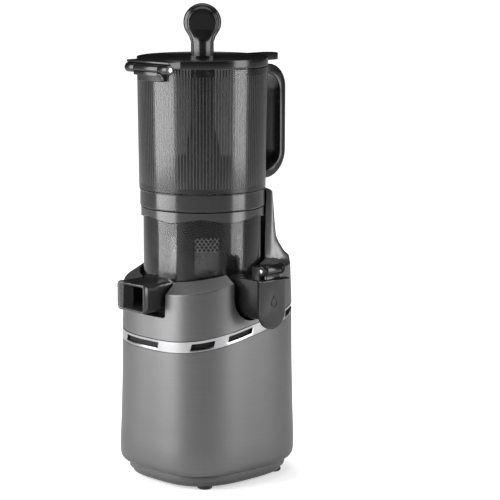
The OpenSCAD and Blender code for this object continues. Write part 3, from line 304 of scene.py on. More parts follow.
def turnOf(tree, spot, count):
    return field(tree, "DIVIDE", field(tree, "MULTIPLY", spot, 2 * math.pi), count)


def grow(name, tree, values):
    # runs a geometry tree on an empty mesh and keeps the plain result
    piece = link(name, bpy.data.meshes.new(name))
    maker = piece.modifiers.new("grow", "NODES")
    maker.node_group = tree
    for item in tree.interface.items_tree:
        if item.in_out == "INPUT" and item.name in values:
            maker[item.identifier] = values[item.name]
    return settle(piece)


print("helpers ready")


# shared shader groups
def shaderGroup(name, ins, outs):
    tree = bpy.data.node_groups.new(name, "ShaderNodeTree")
    for label, kind, value in ins:
        item = tree.interface.new_socket(label, in_out="INPUT", socket_type="NodeSocket" + kind)
        item.default_value = value
    for label, kind in outs:
        tree.interface.new_socket(label, in_out="OUTPUT", socket_type="NodeSocket" + kind)
    return tree, addNode(tree, "NodeGroupInput").outputs, addNode(tree, "NodeGroupOutput").inputs


def makeGrain():
    # fine moulded or rolled grain: a height for bump and a tone around 1
    tree, ins, outs = shaderGroup("surfaceGrain", [
        ("Scale", "Float", 900.0), ("Stretch", "Vector", (1, 1, 1)), ("Tone", "Float", 0.1)],
        [("Height", "Float"), ("Tone", "Float")])
    where = addNode(tree, "ShaderNodeTexCoord")
    spread = addNode(tree, "ShaderNodeVectorMath", operation="MULTIPLY")
    noise = addNode(tree, "ShaderNodeTexNoise")
    noise.inputs["Detail"].default_value = 3
    wire(tree, where.outputs["Object"], spread.inputs[0])
    wire(tree, ins["Stretch"], spread.inputs[1])
    wire(tree, spread.outputs[0], noise.inputs["Vector"])
    wire(tree, ins["Scale"], noise.inputs["Scale"])
    value = noise.outputs[0]
    wire(tree, value, outs["Height"])
    around = field(tree, "SUBTRACT", value, 0.5)
    wire(tree, field(tree, "MULTIPLY_ADD", around, ins["Tone"], 1.0), outs["Tone"])
    return tree


def makeHandling():
    # broad smudges from handling: a mask between 0 and 1
    tree, ins, outs = shaderGroup("handlingMarks", [
        ("Scale", "Float", 14.0), ("Amount", "Float", 0.5)], [("Mask", "Float")])
    where = addNode(tree, "ShaderNodeTexCoord")
    broad, fine = (addNode(tree, "ShaderNodeTexNoise") for k in range(2))
    for noise, times in ((broad, 1.0), (fine, 5.0)):
        noise.inputs["Detail"].default_value = 4
        noise.inputs["Distortion"].default_value = 0.6
        wire(tree, where.outputs["Object"], noise.inputs["Vector"])
        wire(tree, field(tree, "MULTIPLY", ins["Scale"], times), noise.inputs["Scale"])
    blend = field(tree, "MULTIPLY", broad.outputs[0], fine.outputs[0])
    capped = field(tree, "SMOOTH_MIN", field(tree, "MULTIPLY", blend, 2.2), 1.0, 0.2)
    wire(tree, field(tree, "MULTIPLY", capped, ins["Amount"]), outs["Mask"])
    return tree


grainGroup, handlingGroup = makeGrain(), makeHandling()
markRoughness = 0.6


def finish(name, colour, rough, metal=0.0, grain=(900, 0.02, 0.06), stretch=(1, 1, 1), marks=(14, 0.1),
           clear=None, gloss=0.5):
    # grain is (scale, bump height, tone), marks is (scale, amount), clear is (face, rim, blend) of opacity
    material = bpy.data.materials.new(name)
    material.use_nodes = True
    tree = material.node_tree
    surface = tree.nodes["Principled BSDF"]
    surface.inputs["Metallic"].default_value = metal
    surface.inputs["Specular IOR Level"].default_value = gloss
    fine = addNode(tree, "ShaderNodeGroup", node_tree=grainGroup)
    fine.inputs["Scale"].default_value = grain[0]
    fine.inputs["Stretch"].default_value = stretch
    fine.inputs["Tone"].default_value = grain[2]
    handled = addNode(tree, "ShaderNodeGroup", node_tree=handlingGroup)
    handled.inputs["Scale"].default_value = marks[0]
    handled.inputs["Amount"].default_value = marks[1]
    tint = addNode(tree, "ShaderNodeMix", data_type="RGBA", blend_type="MULTIPLY")
    tint.inputs[0].default_value = 1.0
    tint.inputs[6].default_value = (*colour, 1)
    wire(tree, fine.outputs["Tone"], tint.inputs[7])
    wire(tree, tint.outputs[2], surface.inputs["Base Color"])
    roughness = field(tree, "MULTIPLY_ADD", handled.outputs["Mask"], markRoughness, rough)
    wire(tree, roughness, surface.inputs["Roughness"])
    bump = addNode(tree, "ShaderNodeBump")
    bump.inputs["Strength"].default_value = 1.0
    bump.inputs["Distance"].default_value = grain[1] * mm
    wire(tree, fine.outputs["Height"], bump.inputs["Height"])
    wire(tree, bump.outputs["Normal"], surface.inputs["Normal"])
    if clear:
        face, rim, blend = clear
        edge = addNode(tree, "ShaderNodeLayerWeight")
        edge.inputs["Blend"].default_value = blend
        opacity = field(tree, "MULTIPLY_ADD", edge.outputs["Facing"], rim - face, face)
        wire(tree, opacity, surface.inputs["Alpha"])
    return material


finishes = {
    "foot_rubber": finish("footRubber", (0.022, 0.022, 0.022), 0.7, grain=(1500, 0.05, 0.3)),
    "plate_plastic": finish("platePlastic", (0.095, 0.095, 0.096), 0.42, grain=(1200, 0.03, 0.2)),
    "shell_plastic": finish("shellSatin", (0.15, 0.15, 0.152), 0.36, metal=0.8, grain=(300, 0.004, 0.2),
                            stretch=(0.12, 0.12, 5), marks=(9, 0.08)),
    "band_chrome": finish("bandChrome", (0.42, 0.42, 0.43), 0.16, metal=1.0, grain=(600, 0.01, 0.04),
                          stretch=(1, 1, 12)),
    "inner_black": finish("innerBlack", (0.012, 0.012, 0.012), 0.5, grain=(1000, 0.03, 0.2), gloss=0.2),
    "smoky_plastic": finish("smokyClear", (0.016, 0.016, 0.017), 0.15, grain=(60, 0.004, 0.1),
                            marks=(10, 0.08), clear=(0.5, 0.94, 0.35), gloss=0.8),
    "ring_smoky": finish("ringSmoky", (0.018, 0.018, 0.019), 0.13, grain=(60, 0.004, 0.1),
                         marks=(10, 0.08), clear=(0.84, 0.97, 0.35), gloss=0.8),
    "bowl_clear": finish("bowlClear", (0.014, 0.014, 0.015), 0.12, grain=(60, 0.002, 0.1),
                         marks=(10, 0.04), clear=(0.3, 1.0, 0.6), gloss=0.8),
    "collar_smoky": finish("collarSmoky", (0.04, 0.04, 0.041), 0.16, grain=(60, 0.002, 0.1), gloss=0.6),
    "chute_smoky": finish("chuteSmoky", (0.024, 0.024, 0.025), 0.09, grain=(60, 0.004, 0.1),
                          marks=(10, 0.06), clear=(0.66, 0.97, 0.35), gloss=0.8),
    "spout_black": finish("spoutBlack", (0.012, 0.012, 0.013), 0.24, grain=(700, 0.006, 0.15),
                          marks=(16, 0.1), gloss=0.1),
    # light grey ribs: painted highlight along the flutes of the drum's smoky plastic
    "drum_rib": finish("drumRibHighlight", (0.24, 0.24, 0.25), 0.35, grain=(900, 0.01, 0.2)),
    "basket_plastic": finish("basketPlastic", (0.014, 0.014, 0.015), 0.3, grain=(900, 0.01, 0.2),
                             gloss=0.35),
    # dark discs for the strainer's holes: painted shade of the inside seen through them
    "mesh_hole": finish("paintedHoleShade", (0.01, 0.01, 0.01), 0.6, grain=(900, 0.02, 0.2)),
    "gloss_black": finish("glossBlack", (0.011, 0.011, 0.012), 0.16, grain=(700, 0.008, 0.15),
                          marks=(16, 0.14)),
    "seal_rubber": finish("sealRubber", (0.04, 0.04, 0.042), 0.6, grain=(900, 0.03, 0.2)),
    "steel": finish("turnedSteel", (0.6, 0.6, 0.62), 0.24, metal=1.0, grain=(700, 0.01, 0.14),
                    stretch=(1, 1, 9)),
    "screw_steel": finish("screwSteel", (0.5, 0.5, 0.5), 0.32, metal=1.0, grain=(1600, 0.02, 0.2)),
    "cast_alloy": finish("castAlloy", (0.5, 0.5, 0.51), 0.46, metal=1.0, grain=(800, 0.08, 0.2)),
    "lamination": finish("laminations", (0.22, 0.21, 0.2), 0.45, metal=1.0, grain=(420, 0.1, 0.5),
                         stretch=(0.05, 0.05, 6)),
    "winding_copper": finish("woundCopper", (0.66, 0.3, 0.14), 0.3, metal=1.0, grain=(700, 0.25, 0.5),
                             stretch=(1, 1, 7)),
    "gear_nylon": finish("gearNylon", (0.72, 0.69, 0.6), 0.42, grain=(900, 0.02, 0.08)),
    "board_green": finish("boardGreen", (0.02, 0.11, 0.05), 0.35, grain=(380, 0.04, 0.6)),
    "rocker_plastic": finish("rockerPlastic", (0.03, 0.03, 0.032), 0.25, grain=(1200, 0.02, 0.15)),
}
nodeSlots = {item["node"]: item["material_slot"] for item in frame["record"]["subparts"]}
for name, node in frame["nodes"].items():
    node.data.materials.clear()
    node.data.materials.append(finishes[nodeSlots[name]])
print("finishes ready")

# lower shell: a squircle carried up by its rule; shares are (height, width) of the whole, rocker is
# (half width, half height, middle) of the switch's hole, notch is (half width, top) of the one below it
lowerShell = {"foot": 15.5, "height": 147.5, "wall": 2.6, "around": 224, "levels": 40, "crowding": 1.6,
              "shares": [(0, 0.918), (0.008, 0.946), (0.022, 0.974), (0.05, 0.995), (0.12, 1.0),
                         (0.35, 0.989), (0.7, 0.974), (1, 0.968)],
              "shareFrom": 0.9, "shareSpan": 0.2,
              "rocker": (9.8, 15.6, 77.45), "notch": (14.3, 46.7), "cutReach": 100.0}


def makeShellTree(s):
    tree, ins, out = newTree("squircleShell", [
        ("Half Width", "Float", 1.0), ("Depth Share", "Float", 1.1), ("Power", "Float", 2.9),
        ("Foot", "Float", 0.0), ("Height", "Float", 1.0), ("Slope", "Float", 0.1),
        ("Around", "Int", 96), ("Levels", "Int", 8), ("Finish", "Material", None)])
    grid = addNode(tree, "GeometryNodeMeshGrid")
    wire(tree, ins["Around"], grid.inputs["Vertices X"])
    wire(tree, ins["Levels"], grid.inputs["Vertices Y"])
    # one side of the grid goes round the shell and the other goes up, with more levels near the foot
    split = addNode(tree, "ShaderNodeSeparateXYZ")
    wire(tree, addNode(tree, "GeometryNodeInputPosition").outputs[0], split.inputs[0])
    along, up = (field(tree, "ADD", split.outputs[k], 0.5) for k in (0, 1))
    turn = field(tree, "MULTIPLY", along, 2 * math.pi)
    level = field(tree, "POWER", up, s["crowding"])
    shape = addNode(tree, "ShaderNodeFloatCurve")
    curve = shape.mapping.curves[0]
    for k, (u, v) in enumerate(s["shares"]):
        spot = (u, (v - s["shareFrom"]) * (1 / s["shareSpan"]))
        if k < 2:
            curve.points[k].location = spot
        else:
            curve.points.new(*spot)
    shape.mapping.update()
    wire(tree, level, shape.inputs["Value"])
    share = field(tree, "MULTIPLY_ADD", shape.outputs[0], s["shareSpan"], s["shareFrom"])
    half = field(tree, "MULTIPLY", ins["Half Width"], share)
    c, d = field(tree, "COSINE", turn), field(tree, "SINE", turn)
    powers = [field(tree, "POWER", field(tree, "ABSOLUTE", value), ins["Power"]) for value in (c, d)]
    root = field(tree, "DIVIDE", 1.0, ins["Power"])
    reach = field(tree, "DIVIDE", half, field(tree, "POWER", field(tree, "ADD", *powers), root))
    x = field(tree, "MULTIPLY", reach, c)
    y = field(tree, "MULTIPLY", field(tree, "MULTIPLY", reach, d), ins["Depth Share"])
    tall = field(tree, "ADD", ins["Height"], field(tree, "MULTIPLY", y, ins["Slope"]))
    z = field(tree, "ADD", ins["Foot"], field(tree, "MULTIPLY", level, tall))
    move = addNode(tree, "GeometryNodeSetPosition")
    wire(tree, grid.outputs[0], move.inputs["Geometry"])
    wire(tree, combine(tree, x, y, z), move.inputs["Position"])
    seam = addNode(tree, "GeometryNodeMergeByDistance")
    seam.inputs["Distance"].default_value = 1e-5
    wire(tree, move.outputs[0], seam.inputs[0])
    closeTree(tree, seam.outputs[0], ins, out)
    return tree


def makeLowerShell(s):
    shell = grow("baseShell", makeShellTree(s), {
        "Half Width": plan["half"] * mm, "Depth Share": plan["deep"] / plan["half"],
        "Power": plan["power"], "Foot": s["foot"] * mm, "Height": s["height"] * mm,
        "Slope": plan["bandSlope"], "Around": s["around"] + 1, "Levels": s["levels"],
        "Finish": finishes["shell_plastic"]})
    shell.data.transform(Matrix.Translation((plan["x"] * mm, plan["y"] * mm, 0)))
    tidyMesh(shell.data)
    wall = shell.modifiers.new("wall", "SOLIDIFY")
    wall.thickness, wall.offset = s["wall"] * mm, -1
    settle(shell)
    w, h, z = s["rocker"]
    side, top = s["notch"]
    x, y = plan["x"], plan["y"]
    carve(shell, block("cut", (x - w, x + w), (y, y + s["cutReach"]), (z - h, z + h)),
          block("cut", (x - side, x + side), (y, y + s["cutReach"]), (0, top)))
    return place(shell, finishes["shell_plastic"], "base", ["base_shell"])


makeLowerShell(lowerShell)
print("lower shell done")

# bright band with long dark slots, placed at the spans where the chrome shows dark reflections, so the dark
# seen through them is painted reflection; the spans and the slant are in degrees
trimBand = {"low": 163.12, "high": 175.38, "half": 77.44, "wall": 2.6, "lip": 0.55, "bevel": 0.3,
            "slot": (166.6, 172.4), "slant": 1.0,
            "darkReflectionSpans": [(-115, -80), (-54, -38.5), (-28, -6), (32, 58), (78, 102), (122, 150), (172, 200)]}


def makeBand(s):
    ends = [end % 360 for span in s["darkReflectionSpans"] for end in span]
    marks = sorted({round(a, 2) for a in [2.0 * k for k in range(180)] + ends})
    # each slot is painted reflection: an opening where the chrome shows only a dark reflection
    slots = [(low % 360, high - low) for low, high in s["darkReflectionSpans"]]
    levels = [s["low"], s["low"] + s["lip"], *s["slot"], s["high"] - s["lip"], s["high"]]
    n, top = len(marks), len(levels) - 1
    slotLow, slotHigh = 2, 3

    def inSlot(a, b):
        # whether the stretch between two marks lies in a slot
        mid = (a + (b - a) % 360 / 2) % 360
        return any(0 < (mid - low) % 360 < span for low, span in slots)

    def spot(side, k, i):
        return (side * len(levels) + k) * n + i % n

    def across(k, i):
        # a face from the outer skin to the inner one
        return spot(0, k, i), spot(0, k, i + 1), spot(1, k, i + 1), spot(1, k, i)

    points, faces = [], []
    for side in (0, 1):
        for k, z in enumerate(levels):
            shrink = s["wall"] if side else 0 if 0 < k < top else s["lip"]
            for a in marks:
                # the slots' ends lean, so their upper edge is moved along
                x, y = planPoint(wallAngle(a + (s["slant"] if k == slotHigh else 0)), s["half"] - shrink)
                points.append((x + plan["x"], y + plan["y"], z + bandRise(y)))
    for i in range(n):
        hole = inSlot(marks[i], marks[(i + 1) % n])
        for k in range(top):
            if hole and k == slotLow:
                faces += [across(slotLow, i), across(slotHigh, i)]
                continue
            for side in (0, 1):
                faces.append((spot(side, k, i), spot(side, k, i + 1),
                              spot(side, k + 1, i + 1), spot(side, k + 1, i)))
        if inSlot(marks[i - 1], marks[i]) != hole:
            faces.append((spot(0, slotLow, i), spot(0, slotHigh, i),
                          spot(1, slotHigh, i), spot(1, slotLow, i)))
        faces += [across(0, i), across(top, i)]
    band = soften(meshPiece("trimBand", points, faces), s["bevel"], angle=60)
    return place(band, finishes["band_chrome"], "base", ["trim_band"])


makeBand(trimBand)
print("band done")

# upper shell: wall, shoulder and rear tower in one skin, with notches for the chute and the spout;
# shoulder is (first steps, start, end) as shares of the way from crease to rim, flare is the tower's
# side view as shares of (way in, way up), towerHalf and towerBlend are in degrees
upperShell = {"low": 175.5, "lowHalf": 77.44, "lowEdge": 0.4, "wall": 2.6, "steps": 288,
              "wallShares": (0.2, 0.45, 0.7, 0.9, 0.974, 0.99),
              "crease": 224.5, "creaseHalf": 76.08, "creaseEdge": 0.14, "shoulder": (0.03, 0.09, 0.96),
              "rim": 233.0, "rimRadius": 66.7, "rimEdge": 0.8,
              "towerIn": 68.5, "towerOut": 75.5, "towerTop": 308.0, "towerRound": 2.8, "topRings": 3,
              "topEdge": 1.0, "towerHalf": 41.0, "towerBlend": 7.0, "flareParts": 3,
              "flare": [(0, 0), (0.055, 0.083), (0.29, 0.14), (0.52, 0.233), (0.71, 0.325),
                        (0.83, 0.458), (1, 1)],
              "frontNotch": (25.5, 183.5, 3.5), "frontCut": (120.0, 56.0),
              "sideNotch": (24.0, 202.8), "sideCut": (56.0, 120.0), "cutTop": 400.0}


def makeUpperShell(s):
    angles = [2 * math.pi * i / s["steps"] for i in range(s["steps"])]
    flare = smoothLine(s["flare"], s["flareParts"])
    last = len(flare) + s["topRings"]
    top, r = s["towerTop"], s["towerRound"]

    def towerShare(a):
        away = abs(math.degrees(a) - 90)
        return smoothStep((s["towerHalf"] + s["towerBlend"] / 2 - away) / s["towerBlend"])

    def bowlPoint(a, reach, z):
        return Vector((reach * math.cos(a), reach * math.sin(a) - plan["bowlForward"], z))

    def planRing(half, z, lift=rise):
        points = [planPoint(a, half) for a in angles]
        return [Vector((x, y, z + lift(y))) for x, y in points]

    def rimRing(reach, drop):
        points = [bowlPoint(a, reach, 0) for a in angles]
        return [Vector((p.x, p.y, s["rim"] - drop + rise(p.y))) for p in points]

    def towerPoint(a, c, k):
        # ring k of the tower: up its flare from the crease, then round its top edge
        if k < len(flare):
            inward, up = flare[k]
            p = Vector((c.x, c.y, 0)).lerp(bowlPoint(a, s["towerOut"], 0), inward)
            return Vector((p.x, p.y, mix(c.z, top - r, up)))
        if k == last:
            return bowlPoint(a, s["towerIn"] + s["topEdge"], top)
        bend = min(1, (k - len(flare) + 1) / s["topRings"]) * math.pi / 2
        return bowlPoint(a, s["towerOut"] - r * (1 - math.cos(bend)), top - r * (1 - math.sin(bend)))

    edge = s["lowEdge"]
    base = planRing(s["lowHalf"], s["low"], bandRise)
    crease, rim = planRing(s["creaseHalf"], s["crease"]), rimRing(s["rimRadius"], 0)
    rings = [planRing(s["lowHalf"] - edge, s["low"], bandRise),
             planRing(s["lowHalf"], s["low"] + edge, bandRise)]
    rings += [[a.lerp(b, t) for a, b in zip(base, crease)] for t in s["wallShares"]]
    rings.append(planRing(s["creaseHalf"] - s["creaseEdge"], s["crease"] - s["creaseEdge"]))
    step, start, end = s["shoulder"]
    first = round(start / step)
    for k in range(1, last + 1):
        share = step * k if k < first else mix(start, end, (k - first) / (last - first))
        ring = []
        for a, c, e in zip(angles, crease, rim):
            w = towerShare(a)
            plain = c.lerp(e, share)
            ring.append(plain.lerp(towerPoint(a, c, k), w) if w > 0 else plain)
        rings.append(ring)
    # down the inside: the edge of the rim and of the tower's top, the rim's underside, the wall
    rings.append([e.lerp(bowlPoint(a, s["towerIn"], top - s["topEdge"]), towerShare(a))
                  for a, e in zip(angles, rimRing(s["rimRadius"], s["rimEdge"]))])
    under, wide = (rimRing(reach, s["wall"]) for reach in (s["rimRadius"], s["towerIn"]))
    rings.append([e.lerp(f, towerShare(a)) for a, e, f in zip(angles, under, wide)])
    rings += [planRing(s["creaseHalf"] - s["wall"], s["crease"] - s["wall"] / 2),
              planRing(s["lowHalf"] - s["wall"], s["low"], bandRise)]
    x, y = plan["x"], plan["y"]
    shell = ringSkin("upperShell", [[(p.x + x, p.y + y, p.z) for p in ring] for ring in rings])
    half, low, corner = s["frontNotch"]
    notch = [(x - half, low, corner), (x + half, low, corner), (x + half, s["cutTop"], 0),
             (x - half, s["cutTop"], 0)]
    front = prism("cut", fillet(notch), "Y", y - s["frontCut"][0], y - s["frontCut"][1])
    radius, level = s["sideNotch"]
    side = prism("cut", archway(bowlAxis[1], level, radius, s["cutTop"], 24), "X",
                 x + s["sideCut"][0], x + s["sideCut"][1])
    carve(shell, front, side)
    tidyMesh(shell.data, turn=False, gap=2e-5)
    return place(shell, finishes["shell_plastic"], "base", ["upper_shell"])


makeUpperShell(upperShell)
print("upper shell done")

# bowl: a turned wall with the ports cut in; chutePort is (half width, low, high, corner), spoutPort is
# (radius, middle of its round foot, top)
bowlSizes = {"outer": 63.0, "wall": 2.6, "low": 180.0, "top": 293.0, "neck": 9.05, "floorShare": 1.15,
             "rimRound": 0.6, "heelRound": 3.0, "floorRound": 2.0, "neckRound": 0.4,
             "chutePort": (19.0, 193.5, 218.5, 1.5), "chuteCut": (90.0, 40.0),
             "spoutPort": (13.5, 197.8, 223.0), "spoutCut": (45.0, 80.0)}


def makeBowl(s):
    r, t, rim = s["outer"], s["wall"], s["rimRound"]
    floor = s["low"] + t * s["floorShare"]
    wall = turned("bowlWall", fillet([
        (r - t, floor, s["floorRound"]), (r - t, s["top"], rim), (r, s["top"], rim),
        (r, s["low"], s["heelRound"]), (s["neck"], s["low"], s["neckRound"]),
        (s["neck"], floor, s["neckRound"])]))
    x, y = plan["x"], plan["y"]
    half, low, high, corner = s["chutePort"]
    chute = prism("cut", roundedBox(x - half, x + half, low, high, corner), "Y",
                  y - s["chuteCut"][0], y - s["chuteCut"][1])
    radius, level, top = s["spoutPort"]
    spout = prism("cut", archway(bowlAxis[1], level, radius, top, 16), "X",
                  x + s["spoutCut"][0], x + s["spoutCut"][1])
    carve(wall, chute, spout)
    return place(wall, finishes["bowl_clear"], "bowl", ["bowl"])


makeBowl(bowlSizes)

# collar under the ring: its lower edge drops in straight lines to the kinks; kinkAt is in degrees
collar = {"inner": 62.9, "outer": 65.4, "top": 293.0, "low": 287.0, "bevel": 0.6, "kinks": 6,
          "kinkAt": 46.0, "drops": (0.8, 6.0)}


def makeCollar(s):
    reach = 180 / s["kinks"]

    def drop(degrees):
        away = abs((degrees - s["kinkAt"] + reach) % (2 * reach) - reach)
        return mix(s["drops"][1], s["drops"][0], away / reach)

    inner, outer, top, low, bevel = (s[key] for key in ("inner", "outer", "top", "low", "bevel"))
    rings = []
    for r, z, share in ((inner, top, 0), (outer, top, 0), (outer, low + bevel, 1), (outer - bevel, low, 1),
                        (inner, low, 1)):
        ring = []
        for degrees in range(0, 360, 2):
            a = math.radians(degrees)
            ring.append((bowlAxis[0] + r * math.cos(a), bowlAxis[1] + r * math.sin(a),
                         z - share * drop(degrees)))
        rings.append(ring)
    return place(ringSkin("bowlCollar", rings), finishes["collar_smoky"], "bowl")


makeCollar(collar)
print("bowl done")

# strainer: steel sleeve behind the frame's windows, with staggered rows of holes that start at holesTop;
# the holes are not cut but laid on the sleeve as dark discs, painted shade of the inside seen through them;
# coarse and fine are (rows, holes in a row, pitch of the rows, radius of a hole)
strainer = {"outer": 45.1, "wall": 0.72, "low": 219.7, "top": 283.0, "proud": 0.05, "holesTop": 263.5,
            "coarse": (5, 62, 3.1, 1.55), "fine": (24, 124, 1.55, 0.62)}


def makeHolesTree():
    tree, ins, out = newTree("perforatedRows", [
        ("Radius", "Float", 0.05), ("Rows", "Int", 4), ("Per Row", "Int", 40), ("Pitch", "Float", 0.003),
        ("Hole", "Float", 0.001), ("From", "Float", 0.2), ("Finish", "Material", None)])
    dot = addNode(tree, "GeometryNodeMeshCircle", fill_type="NGON")
    dot.inputs["Vertices"].default_value = 8
    wire(tree, ins["Hole"], dot.inputs["Radius"])
    index = addNode(tree, "GeometryNodeInputIndex").outputs[0]
    row = field(tree, "FLOOR", field(tree, "DIVIDE", index, ins["Per Row"]))
    # every second row is moved by half a step
    spot = field(tree, "ADD", index, field(tree, "MULTIPLY", field(tree, "MODULO", row, 2.0), 0.5))
    height = field(tree, "SUBTRACT", ins["From"], field(tree, "MULTIPLY", row, ins["Pitch"]))
    count = field(tree, "MULTIPLY", ins["Rows"], ins["Per Row"])
    stand = standRound(tree, dot.outputs[0], count, turnOf(tree, spot, ins["Per Row"]), ins["Radius"],
                       height, math.pi / 2)
    closeTree(tree, stand, ins, out)
    return tree


def makeStrainer(s):
    tree = makeHolesTree()
    start = s["holesTop"]
    for name, (rows, count, pitch, hole) in (("coarseHoles", s["coarse"]), ("fineHoles", s["fine"])):
        holes = grow(name, tree, {
            "Radius": (s["outer"] + s["proud"]) * mm, "Rows": rows, "Per Row": count,
            "Pitch": pitch * mm, "Hole": hole * mm, "From": start * mm, "Finish": finishes["mesh_hole"]})
        holes.data.transform(toBowl)
        place(holes, finishes["mesh_hole"], "bowl")
        start -= rows * pitch
    r, low, top = s["outer"], s["low"], s["top"]
    inside = r - s["wall"]
    sleeve = turned("strainerSleeve", [(r, low), (r, top), (inside, top), (inside, low)])
    return place(sleeve, finishes["steel"], "bowl", ["strainer_mesh"])


makeStrainer(strainer)
basket = dress("strainerBasket", "strainer_frame", 0.0)
place(basket, finishes["basket_plastic"], "bowl", ["strainer_frame"])
print("strainer done")

# pulp chute: a duct with rounded corners and a thick lip, open through its mouth; flangeEnds are
# where its root's flange ends in three steps, waist is (inset, from the root, from the mouth)
chuteSizes = {"half": 22.0, "low": 190.49, "high": 221.49, "front": 109.0, "root": 62.0, "wall": 3.6,
              "corner": 4.6, "minCorner": 0.8, "lip": 1.5, "lipLong": 6.0, "flange": 1.4,
              "flangeBevel": 0.4, "flangeEnds": (8.2, 9.0, 9.4), "waist": (0.3, 11.0, 8.0),
              "outerTurns": (0, 0.4, 0.8, 1.2, 1.57), "innerTurns": (1.57, 1.1, 0.6, 0),
              "bowlRadius": 63.6, "bowlSpan": (150.0, 260.0)}


def makeChute(s):
    front, root, wall, lip, flange = (s[key] for key in ("front", "root", "wall", "lip", "flange"))

    def outline(inset, y):
        w, r = s["half"] - inset, max(s["minCorner"], s["corner"] - inset)
        points = roundedBox(-w, w, s["low"] + inset, s["high"] - inset, r, 5)
        return [(plan["x"] + x, plan["y"] - y, z) for x, z in points]

    def lipRings(inset, way, turns):
        return [outline(inset + way * lip * (1 - math.cos(t)), front - lip * (1 - math.sin(t)))
                for t in turns]

    first, second, third = s["flangeEnds"]
    waist, fromRoot, fromMouth = s["waist"]
    rings = [outline(-flange, root), outline(-flange, root + first),
             outline(-flange + s["flangeBevel"], root + second), outline(0, root + third),
             outline(waist, root + fromRoot), outline(waist, front - fromMouth),
             outline(0, front - s["lipLong"])]
    rings += lipRings(0, 1, s["outerTurns"]) + lipRings(wall, -1, s["innerTurns"])
    rings += [outline(wall, front - s["lipLong"]), outline(wall, root)]
    r, (low, high) = s["bowlRadius"], s["bowlSpan"]
    chute = carve(ringSkin("pulpChute", rings), turned("cut", [(0, low), (r, low), (r, high), (0, high)]))
    return place(chute, finishes["chute_smoky"], "bowl", ["pulp_chute"])


makeChute(chuteSizes)
print("chute done")

# hopper: ring, drum and fine upright ribs, whose light grey is painted highlight along the drum's flutes;
# ring is (radius, low, high), drum is (low radius, high radius, low, high), and lip, groove, foot and skirt
# are (sideways, along) steps of the ring
hopper = {"ring": (66.4, 293.3, 312.6), "inner": 60.1, "wall": 2.6, "lip": (0.6, 0.8),
          "groove": (0.2, 1.4), "foot": (1.6, 1.5), "skirt": (0.4, 5.0),
          "drum": (67.3, 69.0, 312.8, 441.6), "ribs": 120, "ribSize": (1.3, 0.4),
          "ribSpan": (318.0, 434.0)}


def makeRibsTree():
    tree, ins, out = newTree("drumRibs", [
        ("Count", "Int", 60), ("Low Radius", "Float", 0.1), ("High Radius", "Float", 0.1),
        ("Foot", "Float", 0.0), ("Height", "Float", 0.1), ("Width", "Float", 0.001),
        ("Proud", "Float", 0.001), ("Finish", "Material", None)])
    bar = addNode(tree, "GeometryNodeMeshCylinder")
    for label, value in (("Vertices", 8), ("Radius", 0.5), ("Depth", 1.0)):
        bar.inputs[label].default_value = value
    shape = addNode(tree, "GeometryNodeTransform")
    size = combine(tree, field(tree, "MULTIPLY", ins["Proud"], 2.0), ins["Width"], ins["Height"])
    wire(tree, bar.outputs["Mesh"], shape.inputs["Geometry"])
    wire(tree, size, shape.inputs["Scale"])
    turn = turnOf(tree, addNode(tree, "GeometryNodeInputIndex").outputs[0], ins["Count"])
    reach = field(tree, "MULTIPLY", field(tree, "ADD", ins["Low Radius"], ins["High Radius"]), 0.5)
    height = field(tree, "MULTIPLY_ADD", ins["Height"], 0.5, ins["Foot"])
    wider = field(tree, "SUBTRACT", ins["High Radius"], ins["Low Radius"])
    lean = field(tree, "ARCTAN2", wider, ins["Height"])
    stand = standRound(tree, shape.outputs[0], ins["Count"], turn, reach, height, lean)
    closeTree(tree, stand, ins, out)
    return tree


def makeRibs(s):
    low, high, foot, top = s["drum"]

    def inside(z):
        return mix(low, high, (z - foot) / (top - foot)) - s["wall"]

    a, b = s["ribSpan"]
    ribs = grow("drumRibs", makeRibsTree(), {
        "Count": s["ribs"], "Low Radius": inside(a) * mm, "High Radius": inside(b) * mm, "Foot": a * mm,
        "Height": (b - a) * mm, "Width": s["ribSize"][0] * mm, "Proud": s["ribSize"][1] * mm,
        "Finish": finishes["drum_rib"]})
    ribs.data.transform(toBowl)
    return place(ribs, finishes["drum_rib"], "hopper", angle=80)


def makeRing(s):
    r, low, high = s["ring"]
    inner, t = s["inner"], s["wall"]
    lip, groove, foot, skirt = s["lip"], s["groove"], s["foot"], s["skirt"]
    ring = turned("hopperRing", fillet([
        (inner, low - skirt[1], 0.4), (inner, high, 0.3), (r + lip[0], high, 0.5),
        (r + lip[0], high - lip[1], 0.4), (r - groove[0], high - groove[1], 0.4),
        (r, low + foot[1], 1.2), (r - foot[0], low, 0.6), (r - t, low, 0.4), (r - t, high - t, 1),
        (inner + skirt[0], high - t, 0.3), (inner + skirt[0], low - skirt[1], 0)]))
    return place(ring, finishes["ring_smoky"], "hopper", ["hopper_ring"])


def makeDrum(s):
    low, high, foot, top = s["drum"]
    t = s["wall"]
    drum = turned("hopperDrum", fillet([
        (low - t, foot, 0.5), (high - t, top, 0.8), (high, top, 0.8), (low, foot, 0.9)]))
    return place(drum, finishes["smoky_plastic"], "hopper", ["hopper_drum"])


makeRing(hopper)
makeDrum(hopper)
makeRibs(hopper)
print("hopper done")

# pieces that keep the CAD's shape: name, node, rounding of the edges and its steps, finish, body, slot
dressed = [("hopperHandle", "hopper_handle", 1.3, 3, "gloss_black", "hopper", "gloss_black"),
           ("hingeBracket", "hinge_bracket", 0.5, 2, "gloss_black", "hopper", "gloss_black"),
           ("lidCover", "lid", 0.7, 2, "gloss_black", "lid", "gloss_black"),
           ("juiceSpout", "juice_spout", 0.6, 2, "spout_black", "bowl", "gloss_black"),
           ("basePlate", "base_plate", 0.8, 2, "plate_plastic", "base", "plate_plastic")]
for name, node, width, steps, look, body, slot in dressed:
    place(dress(name, node, width, steps), finishes[look], body, [node])
print("dressed pieces done")

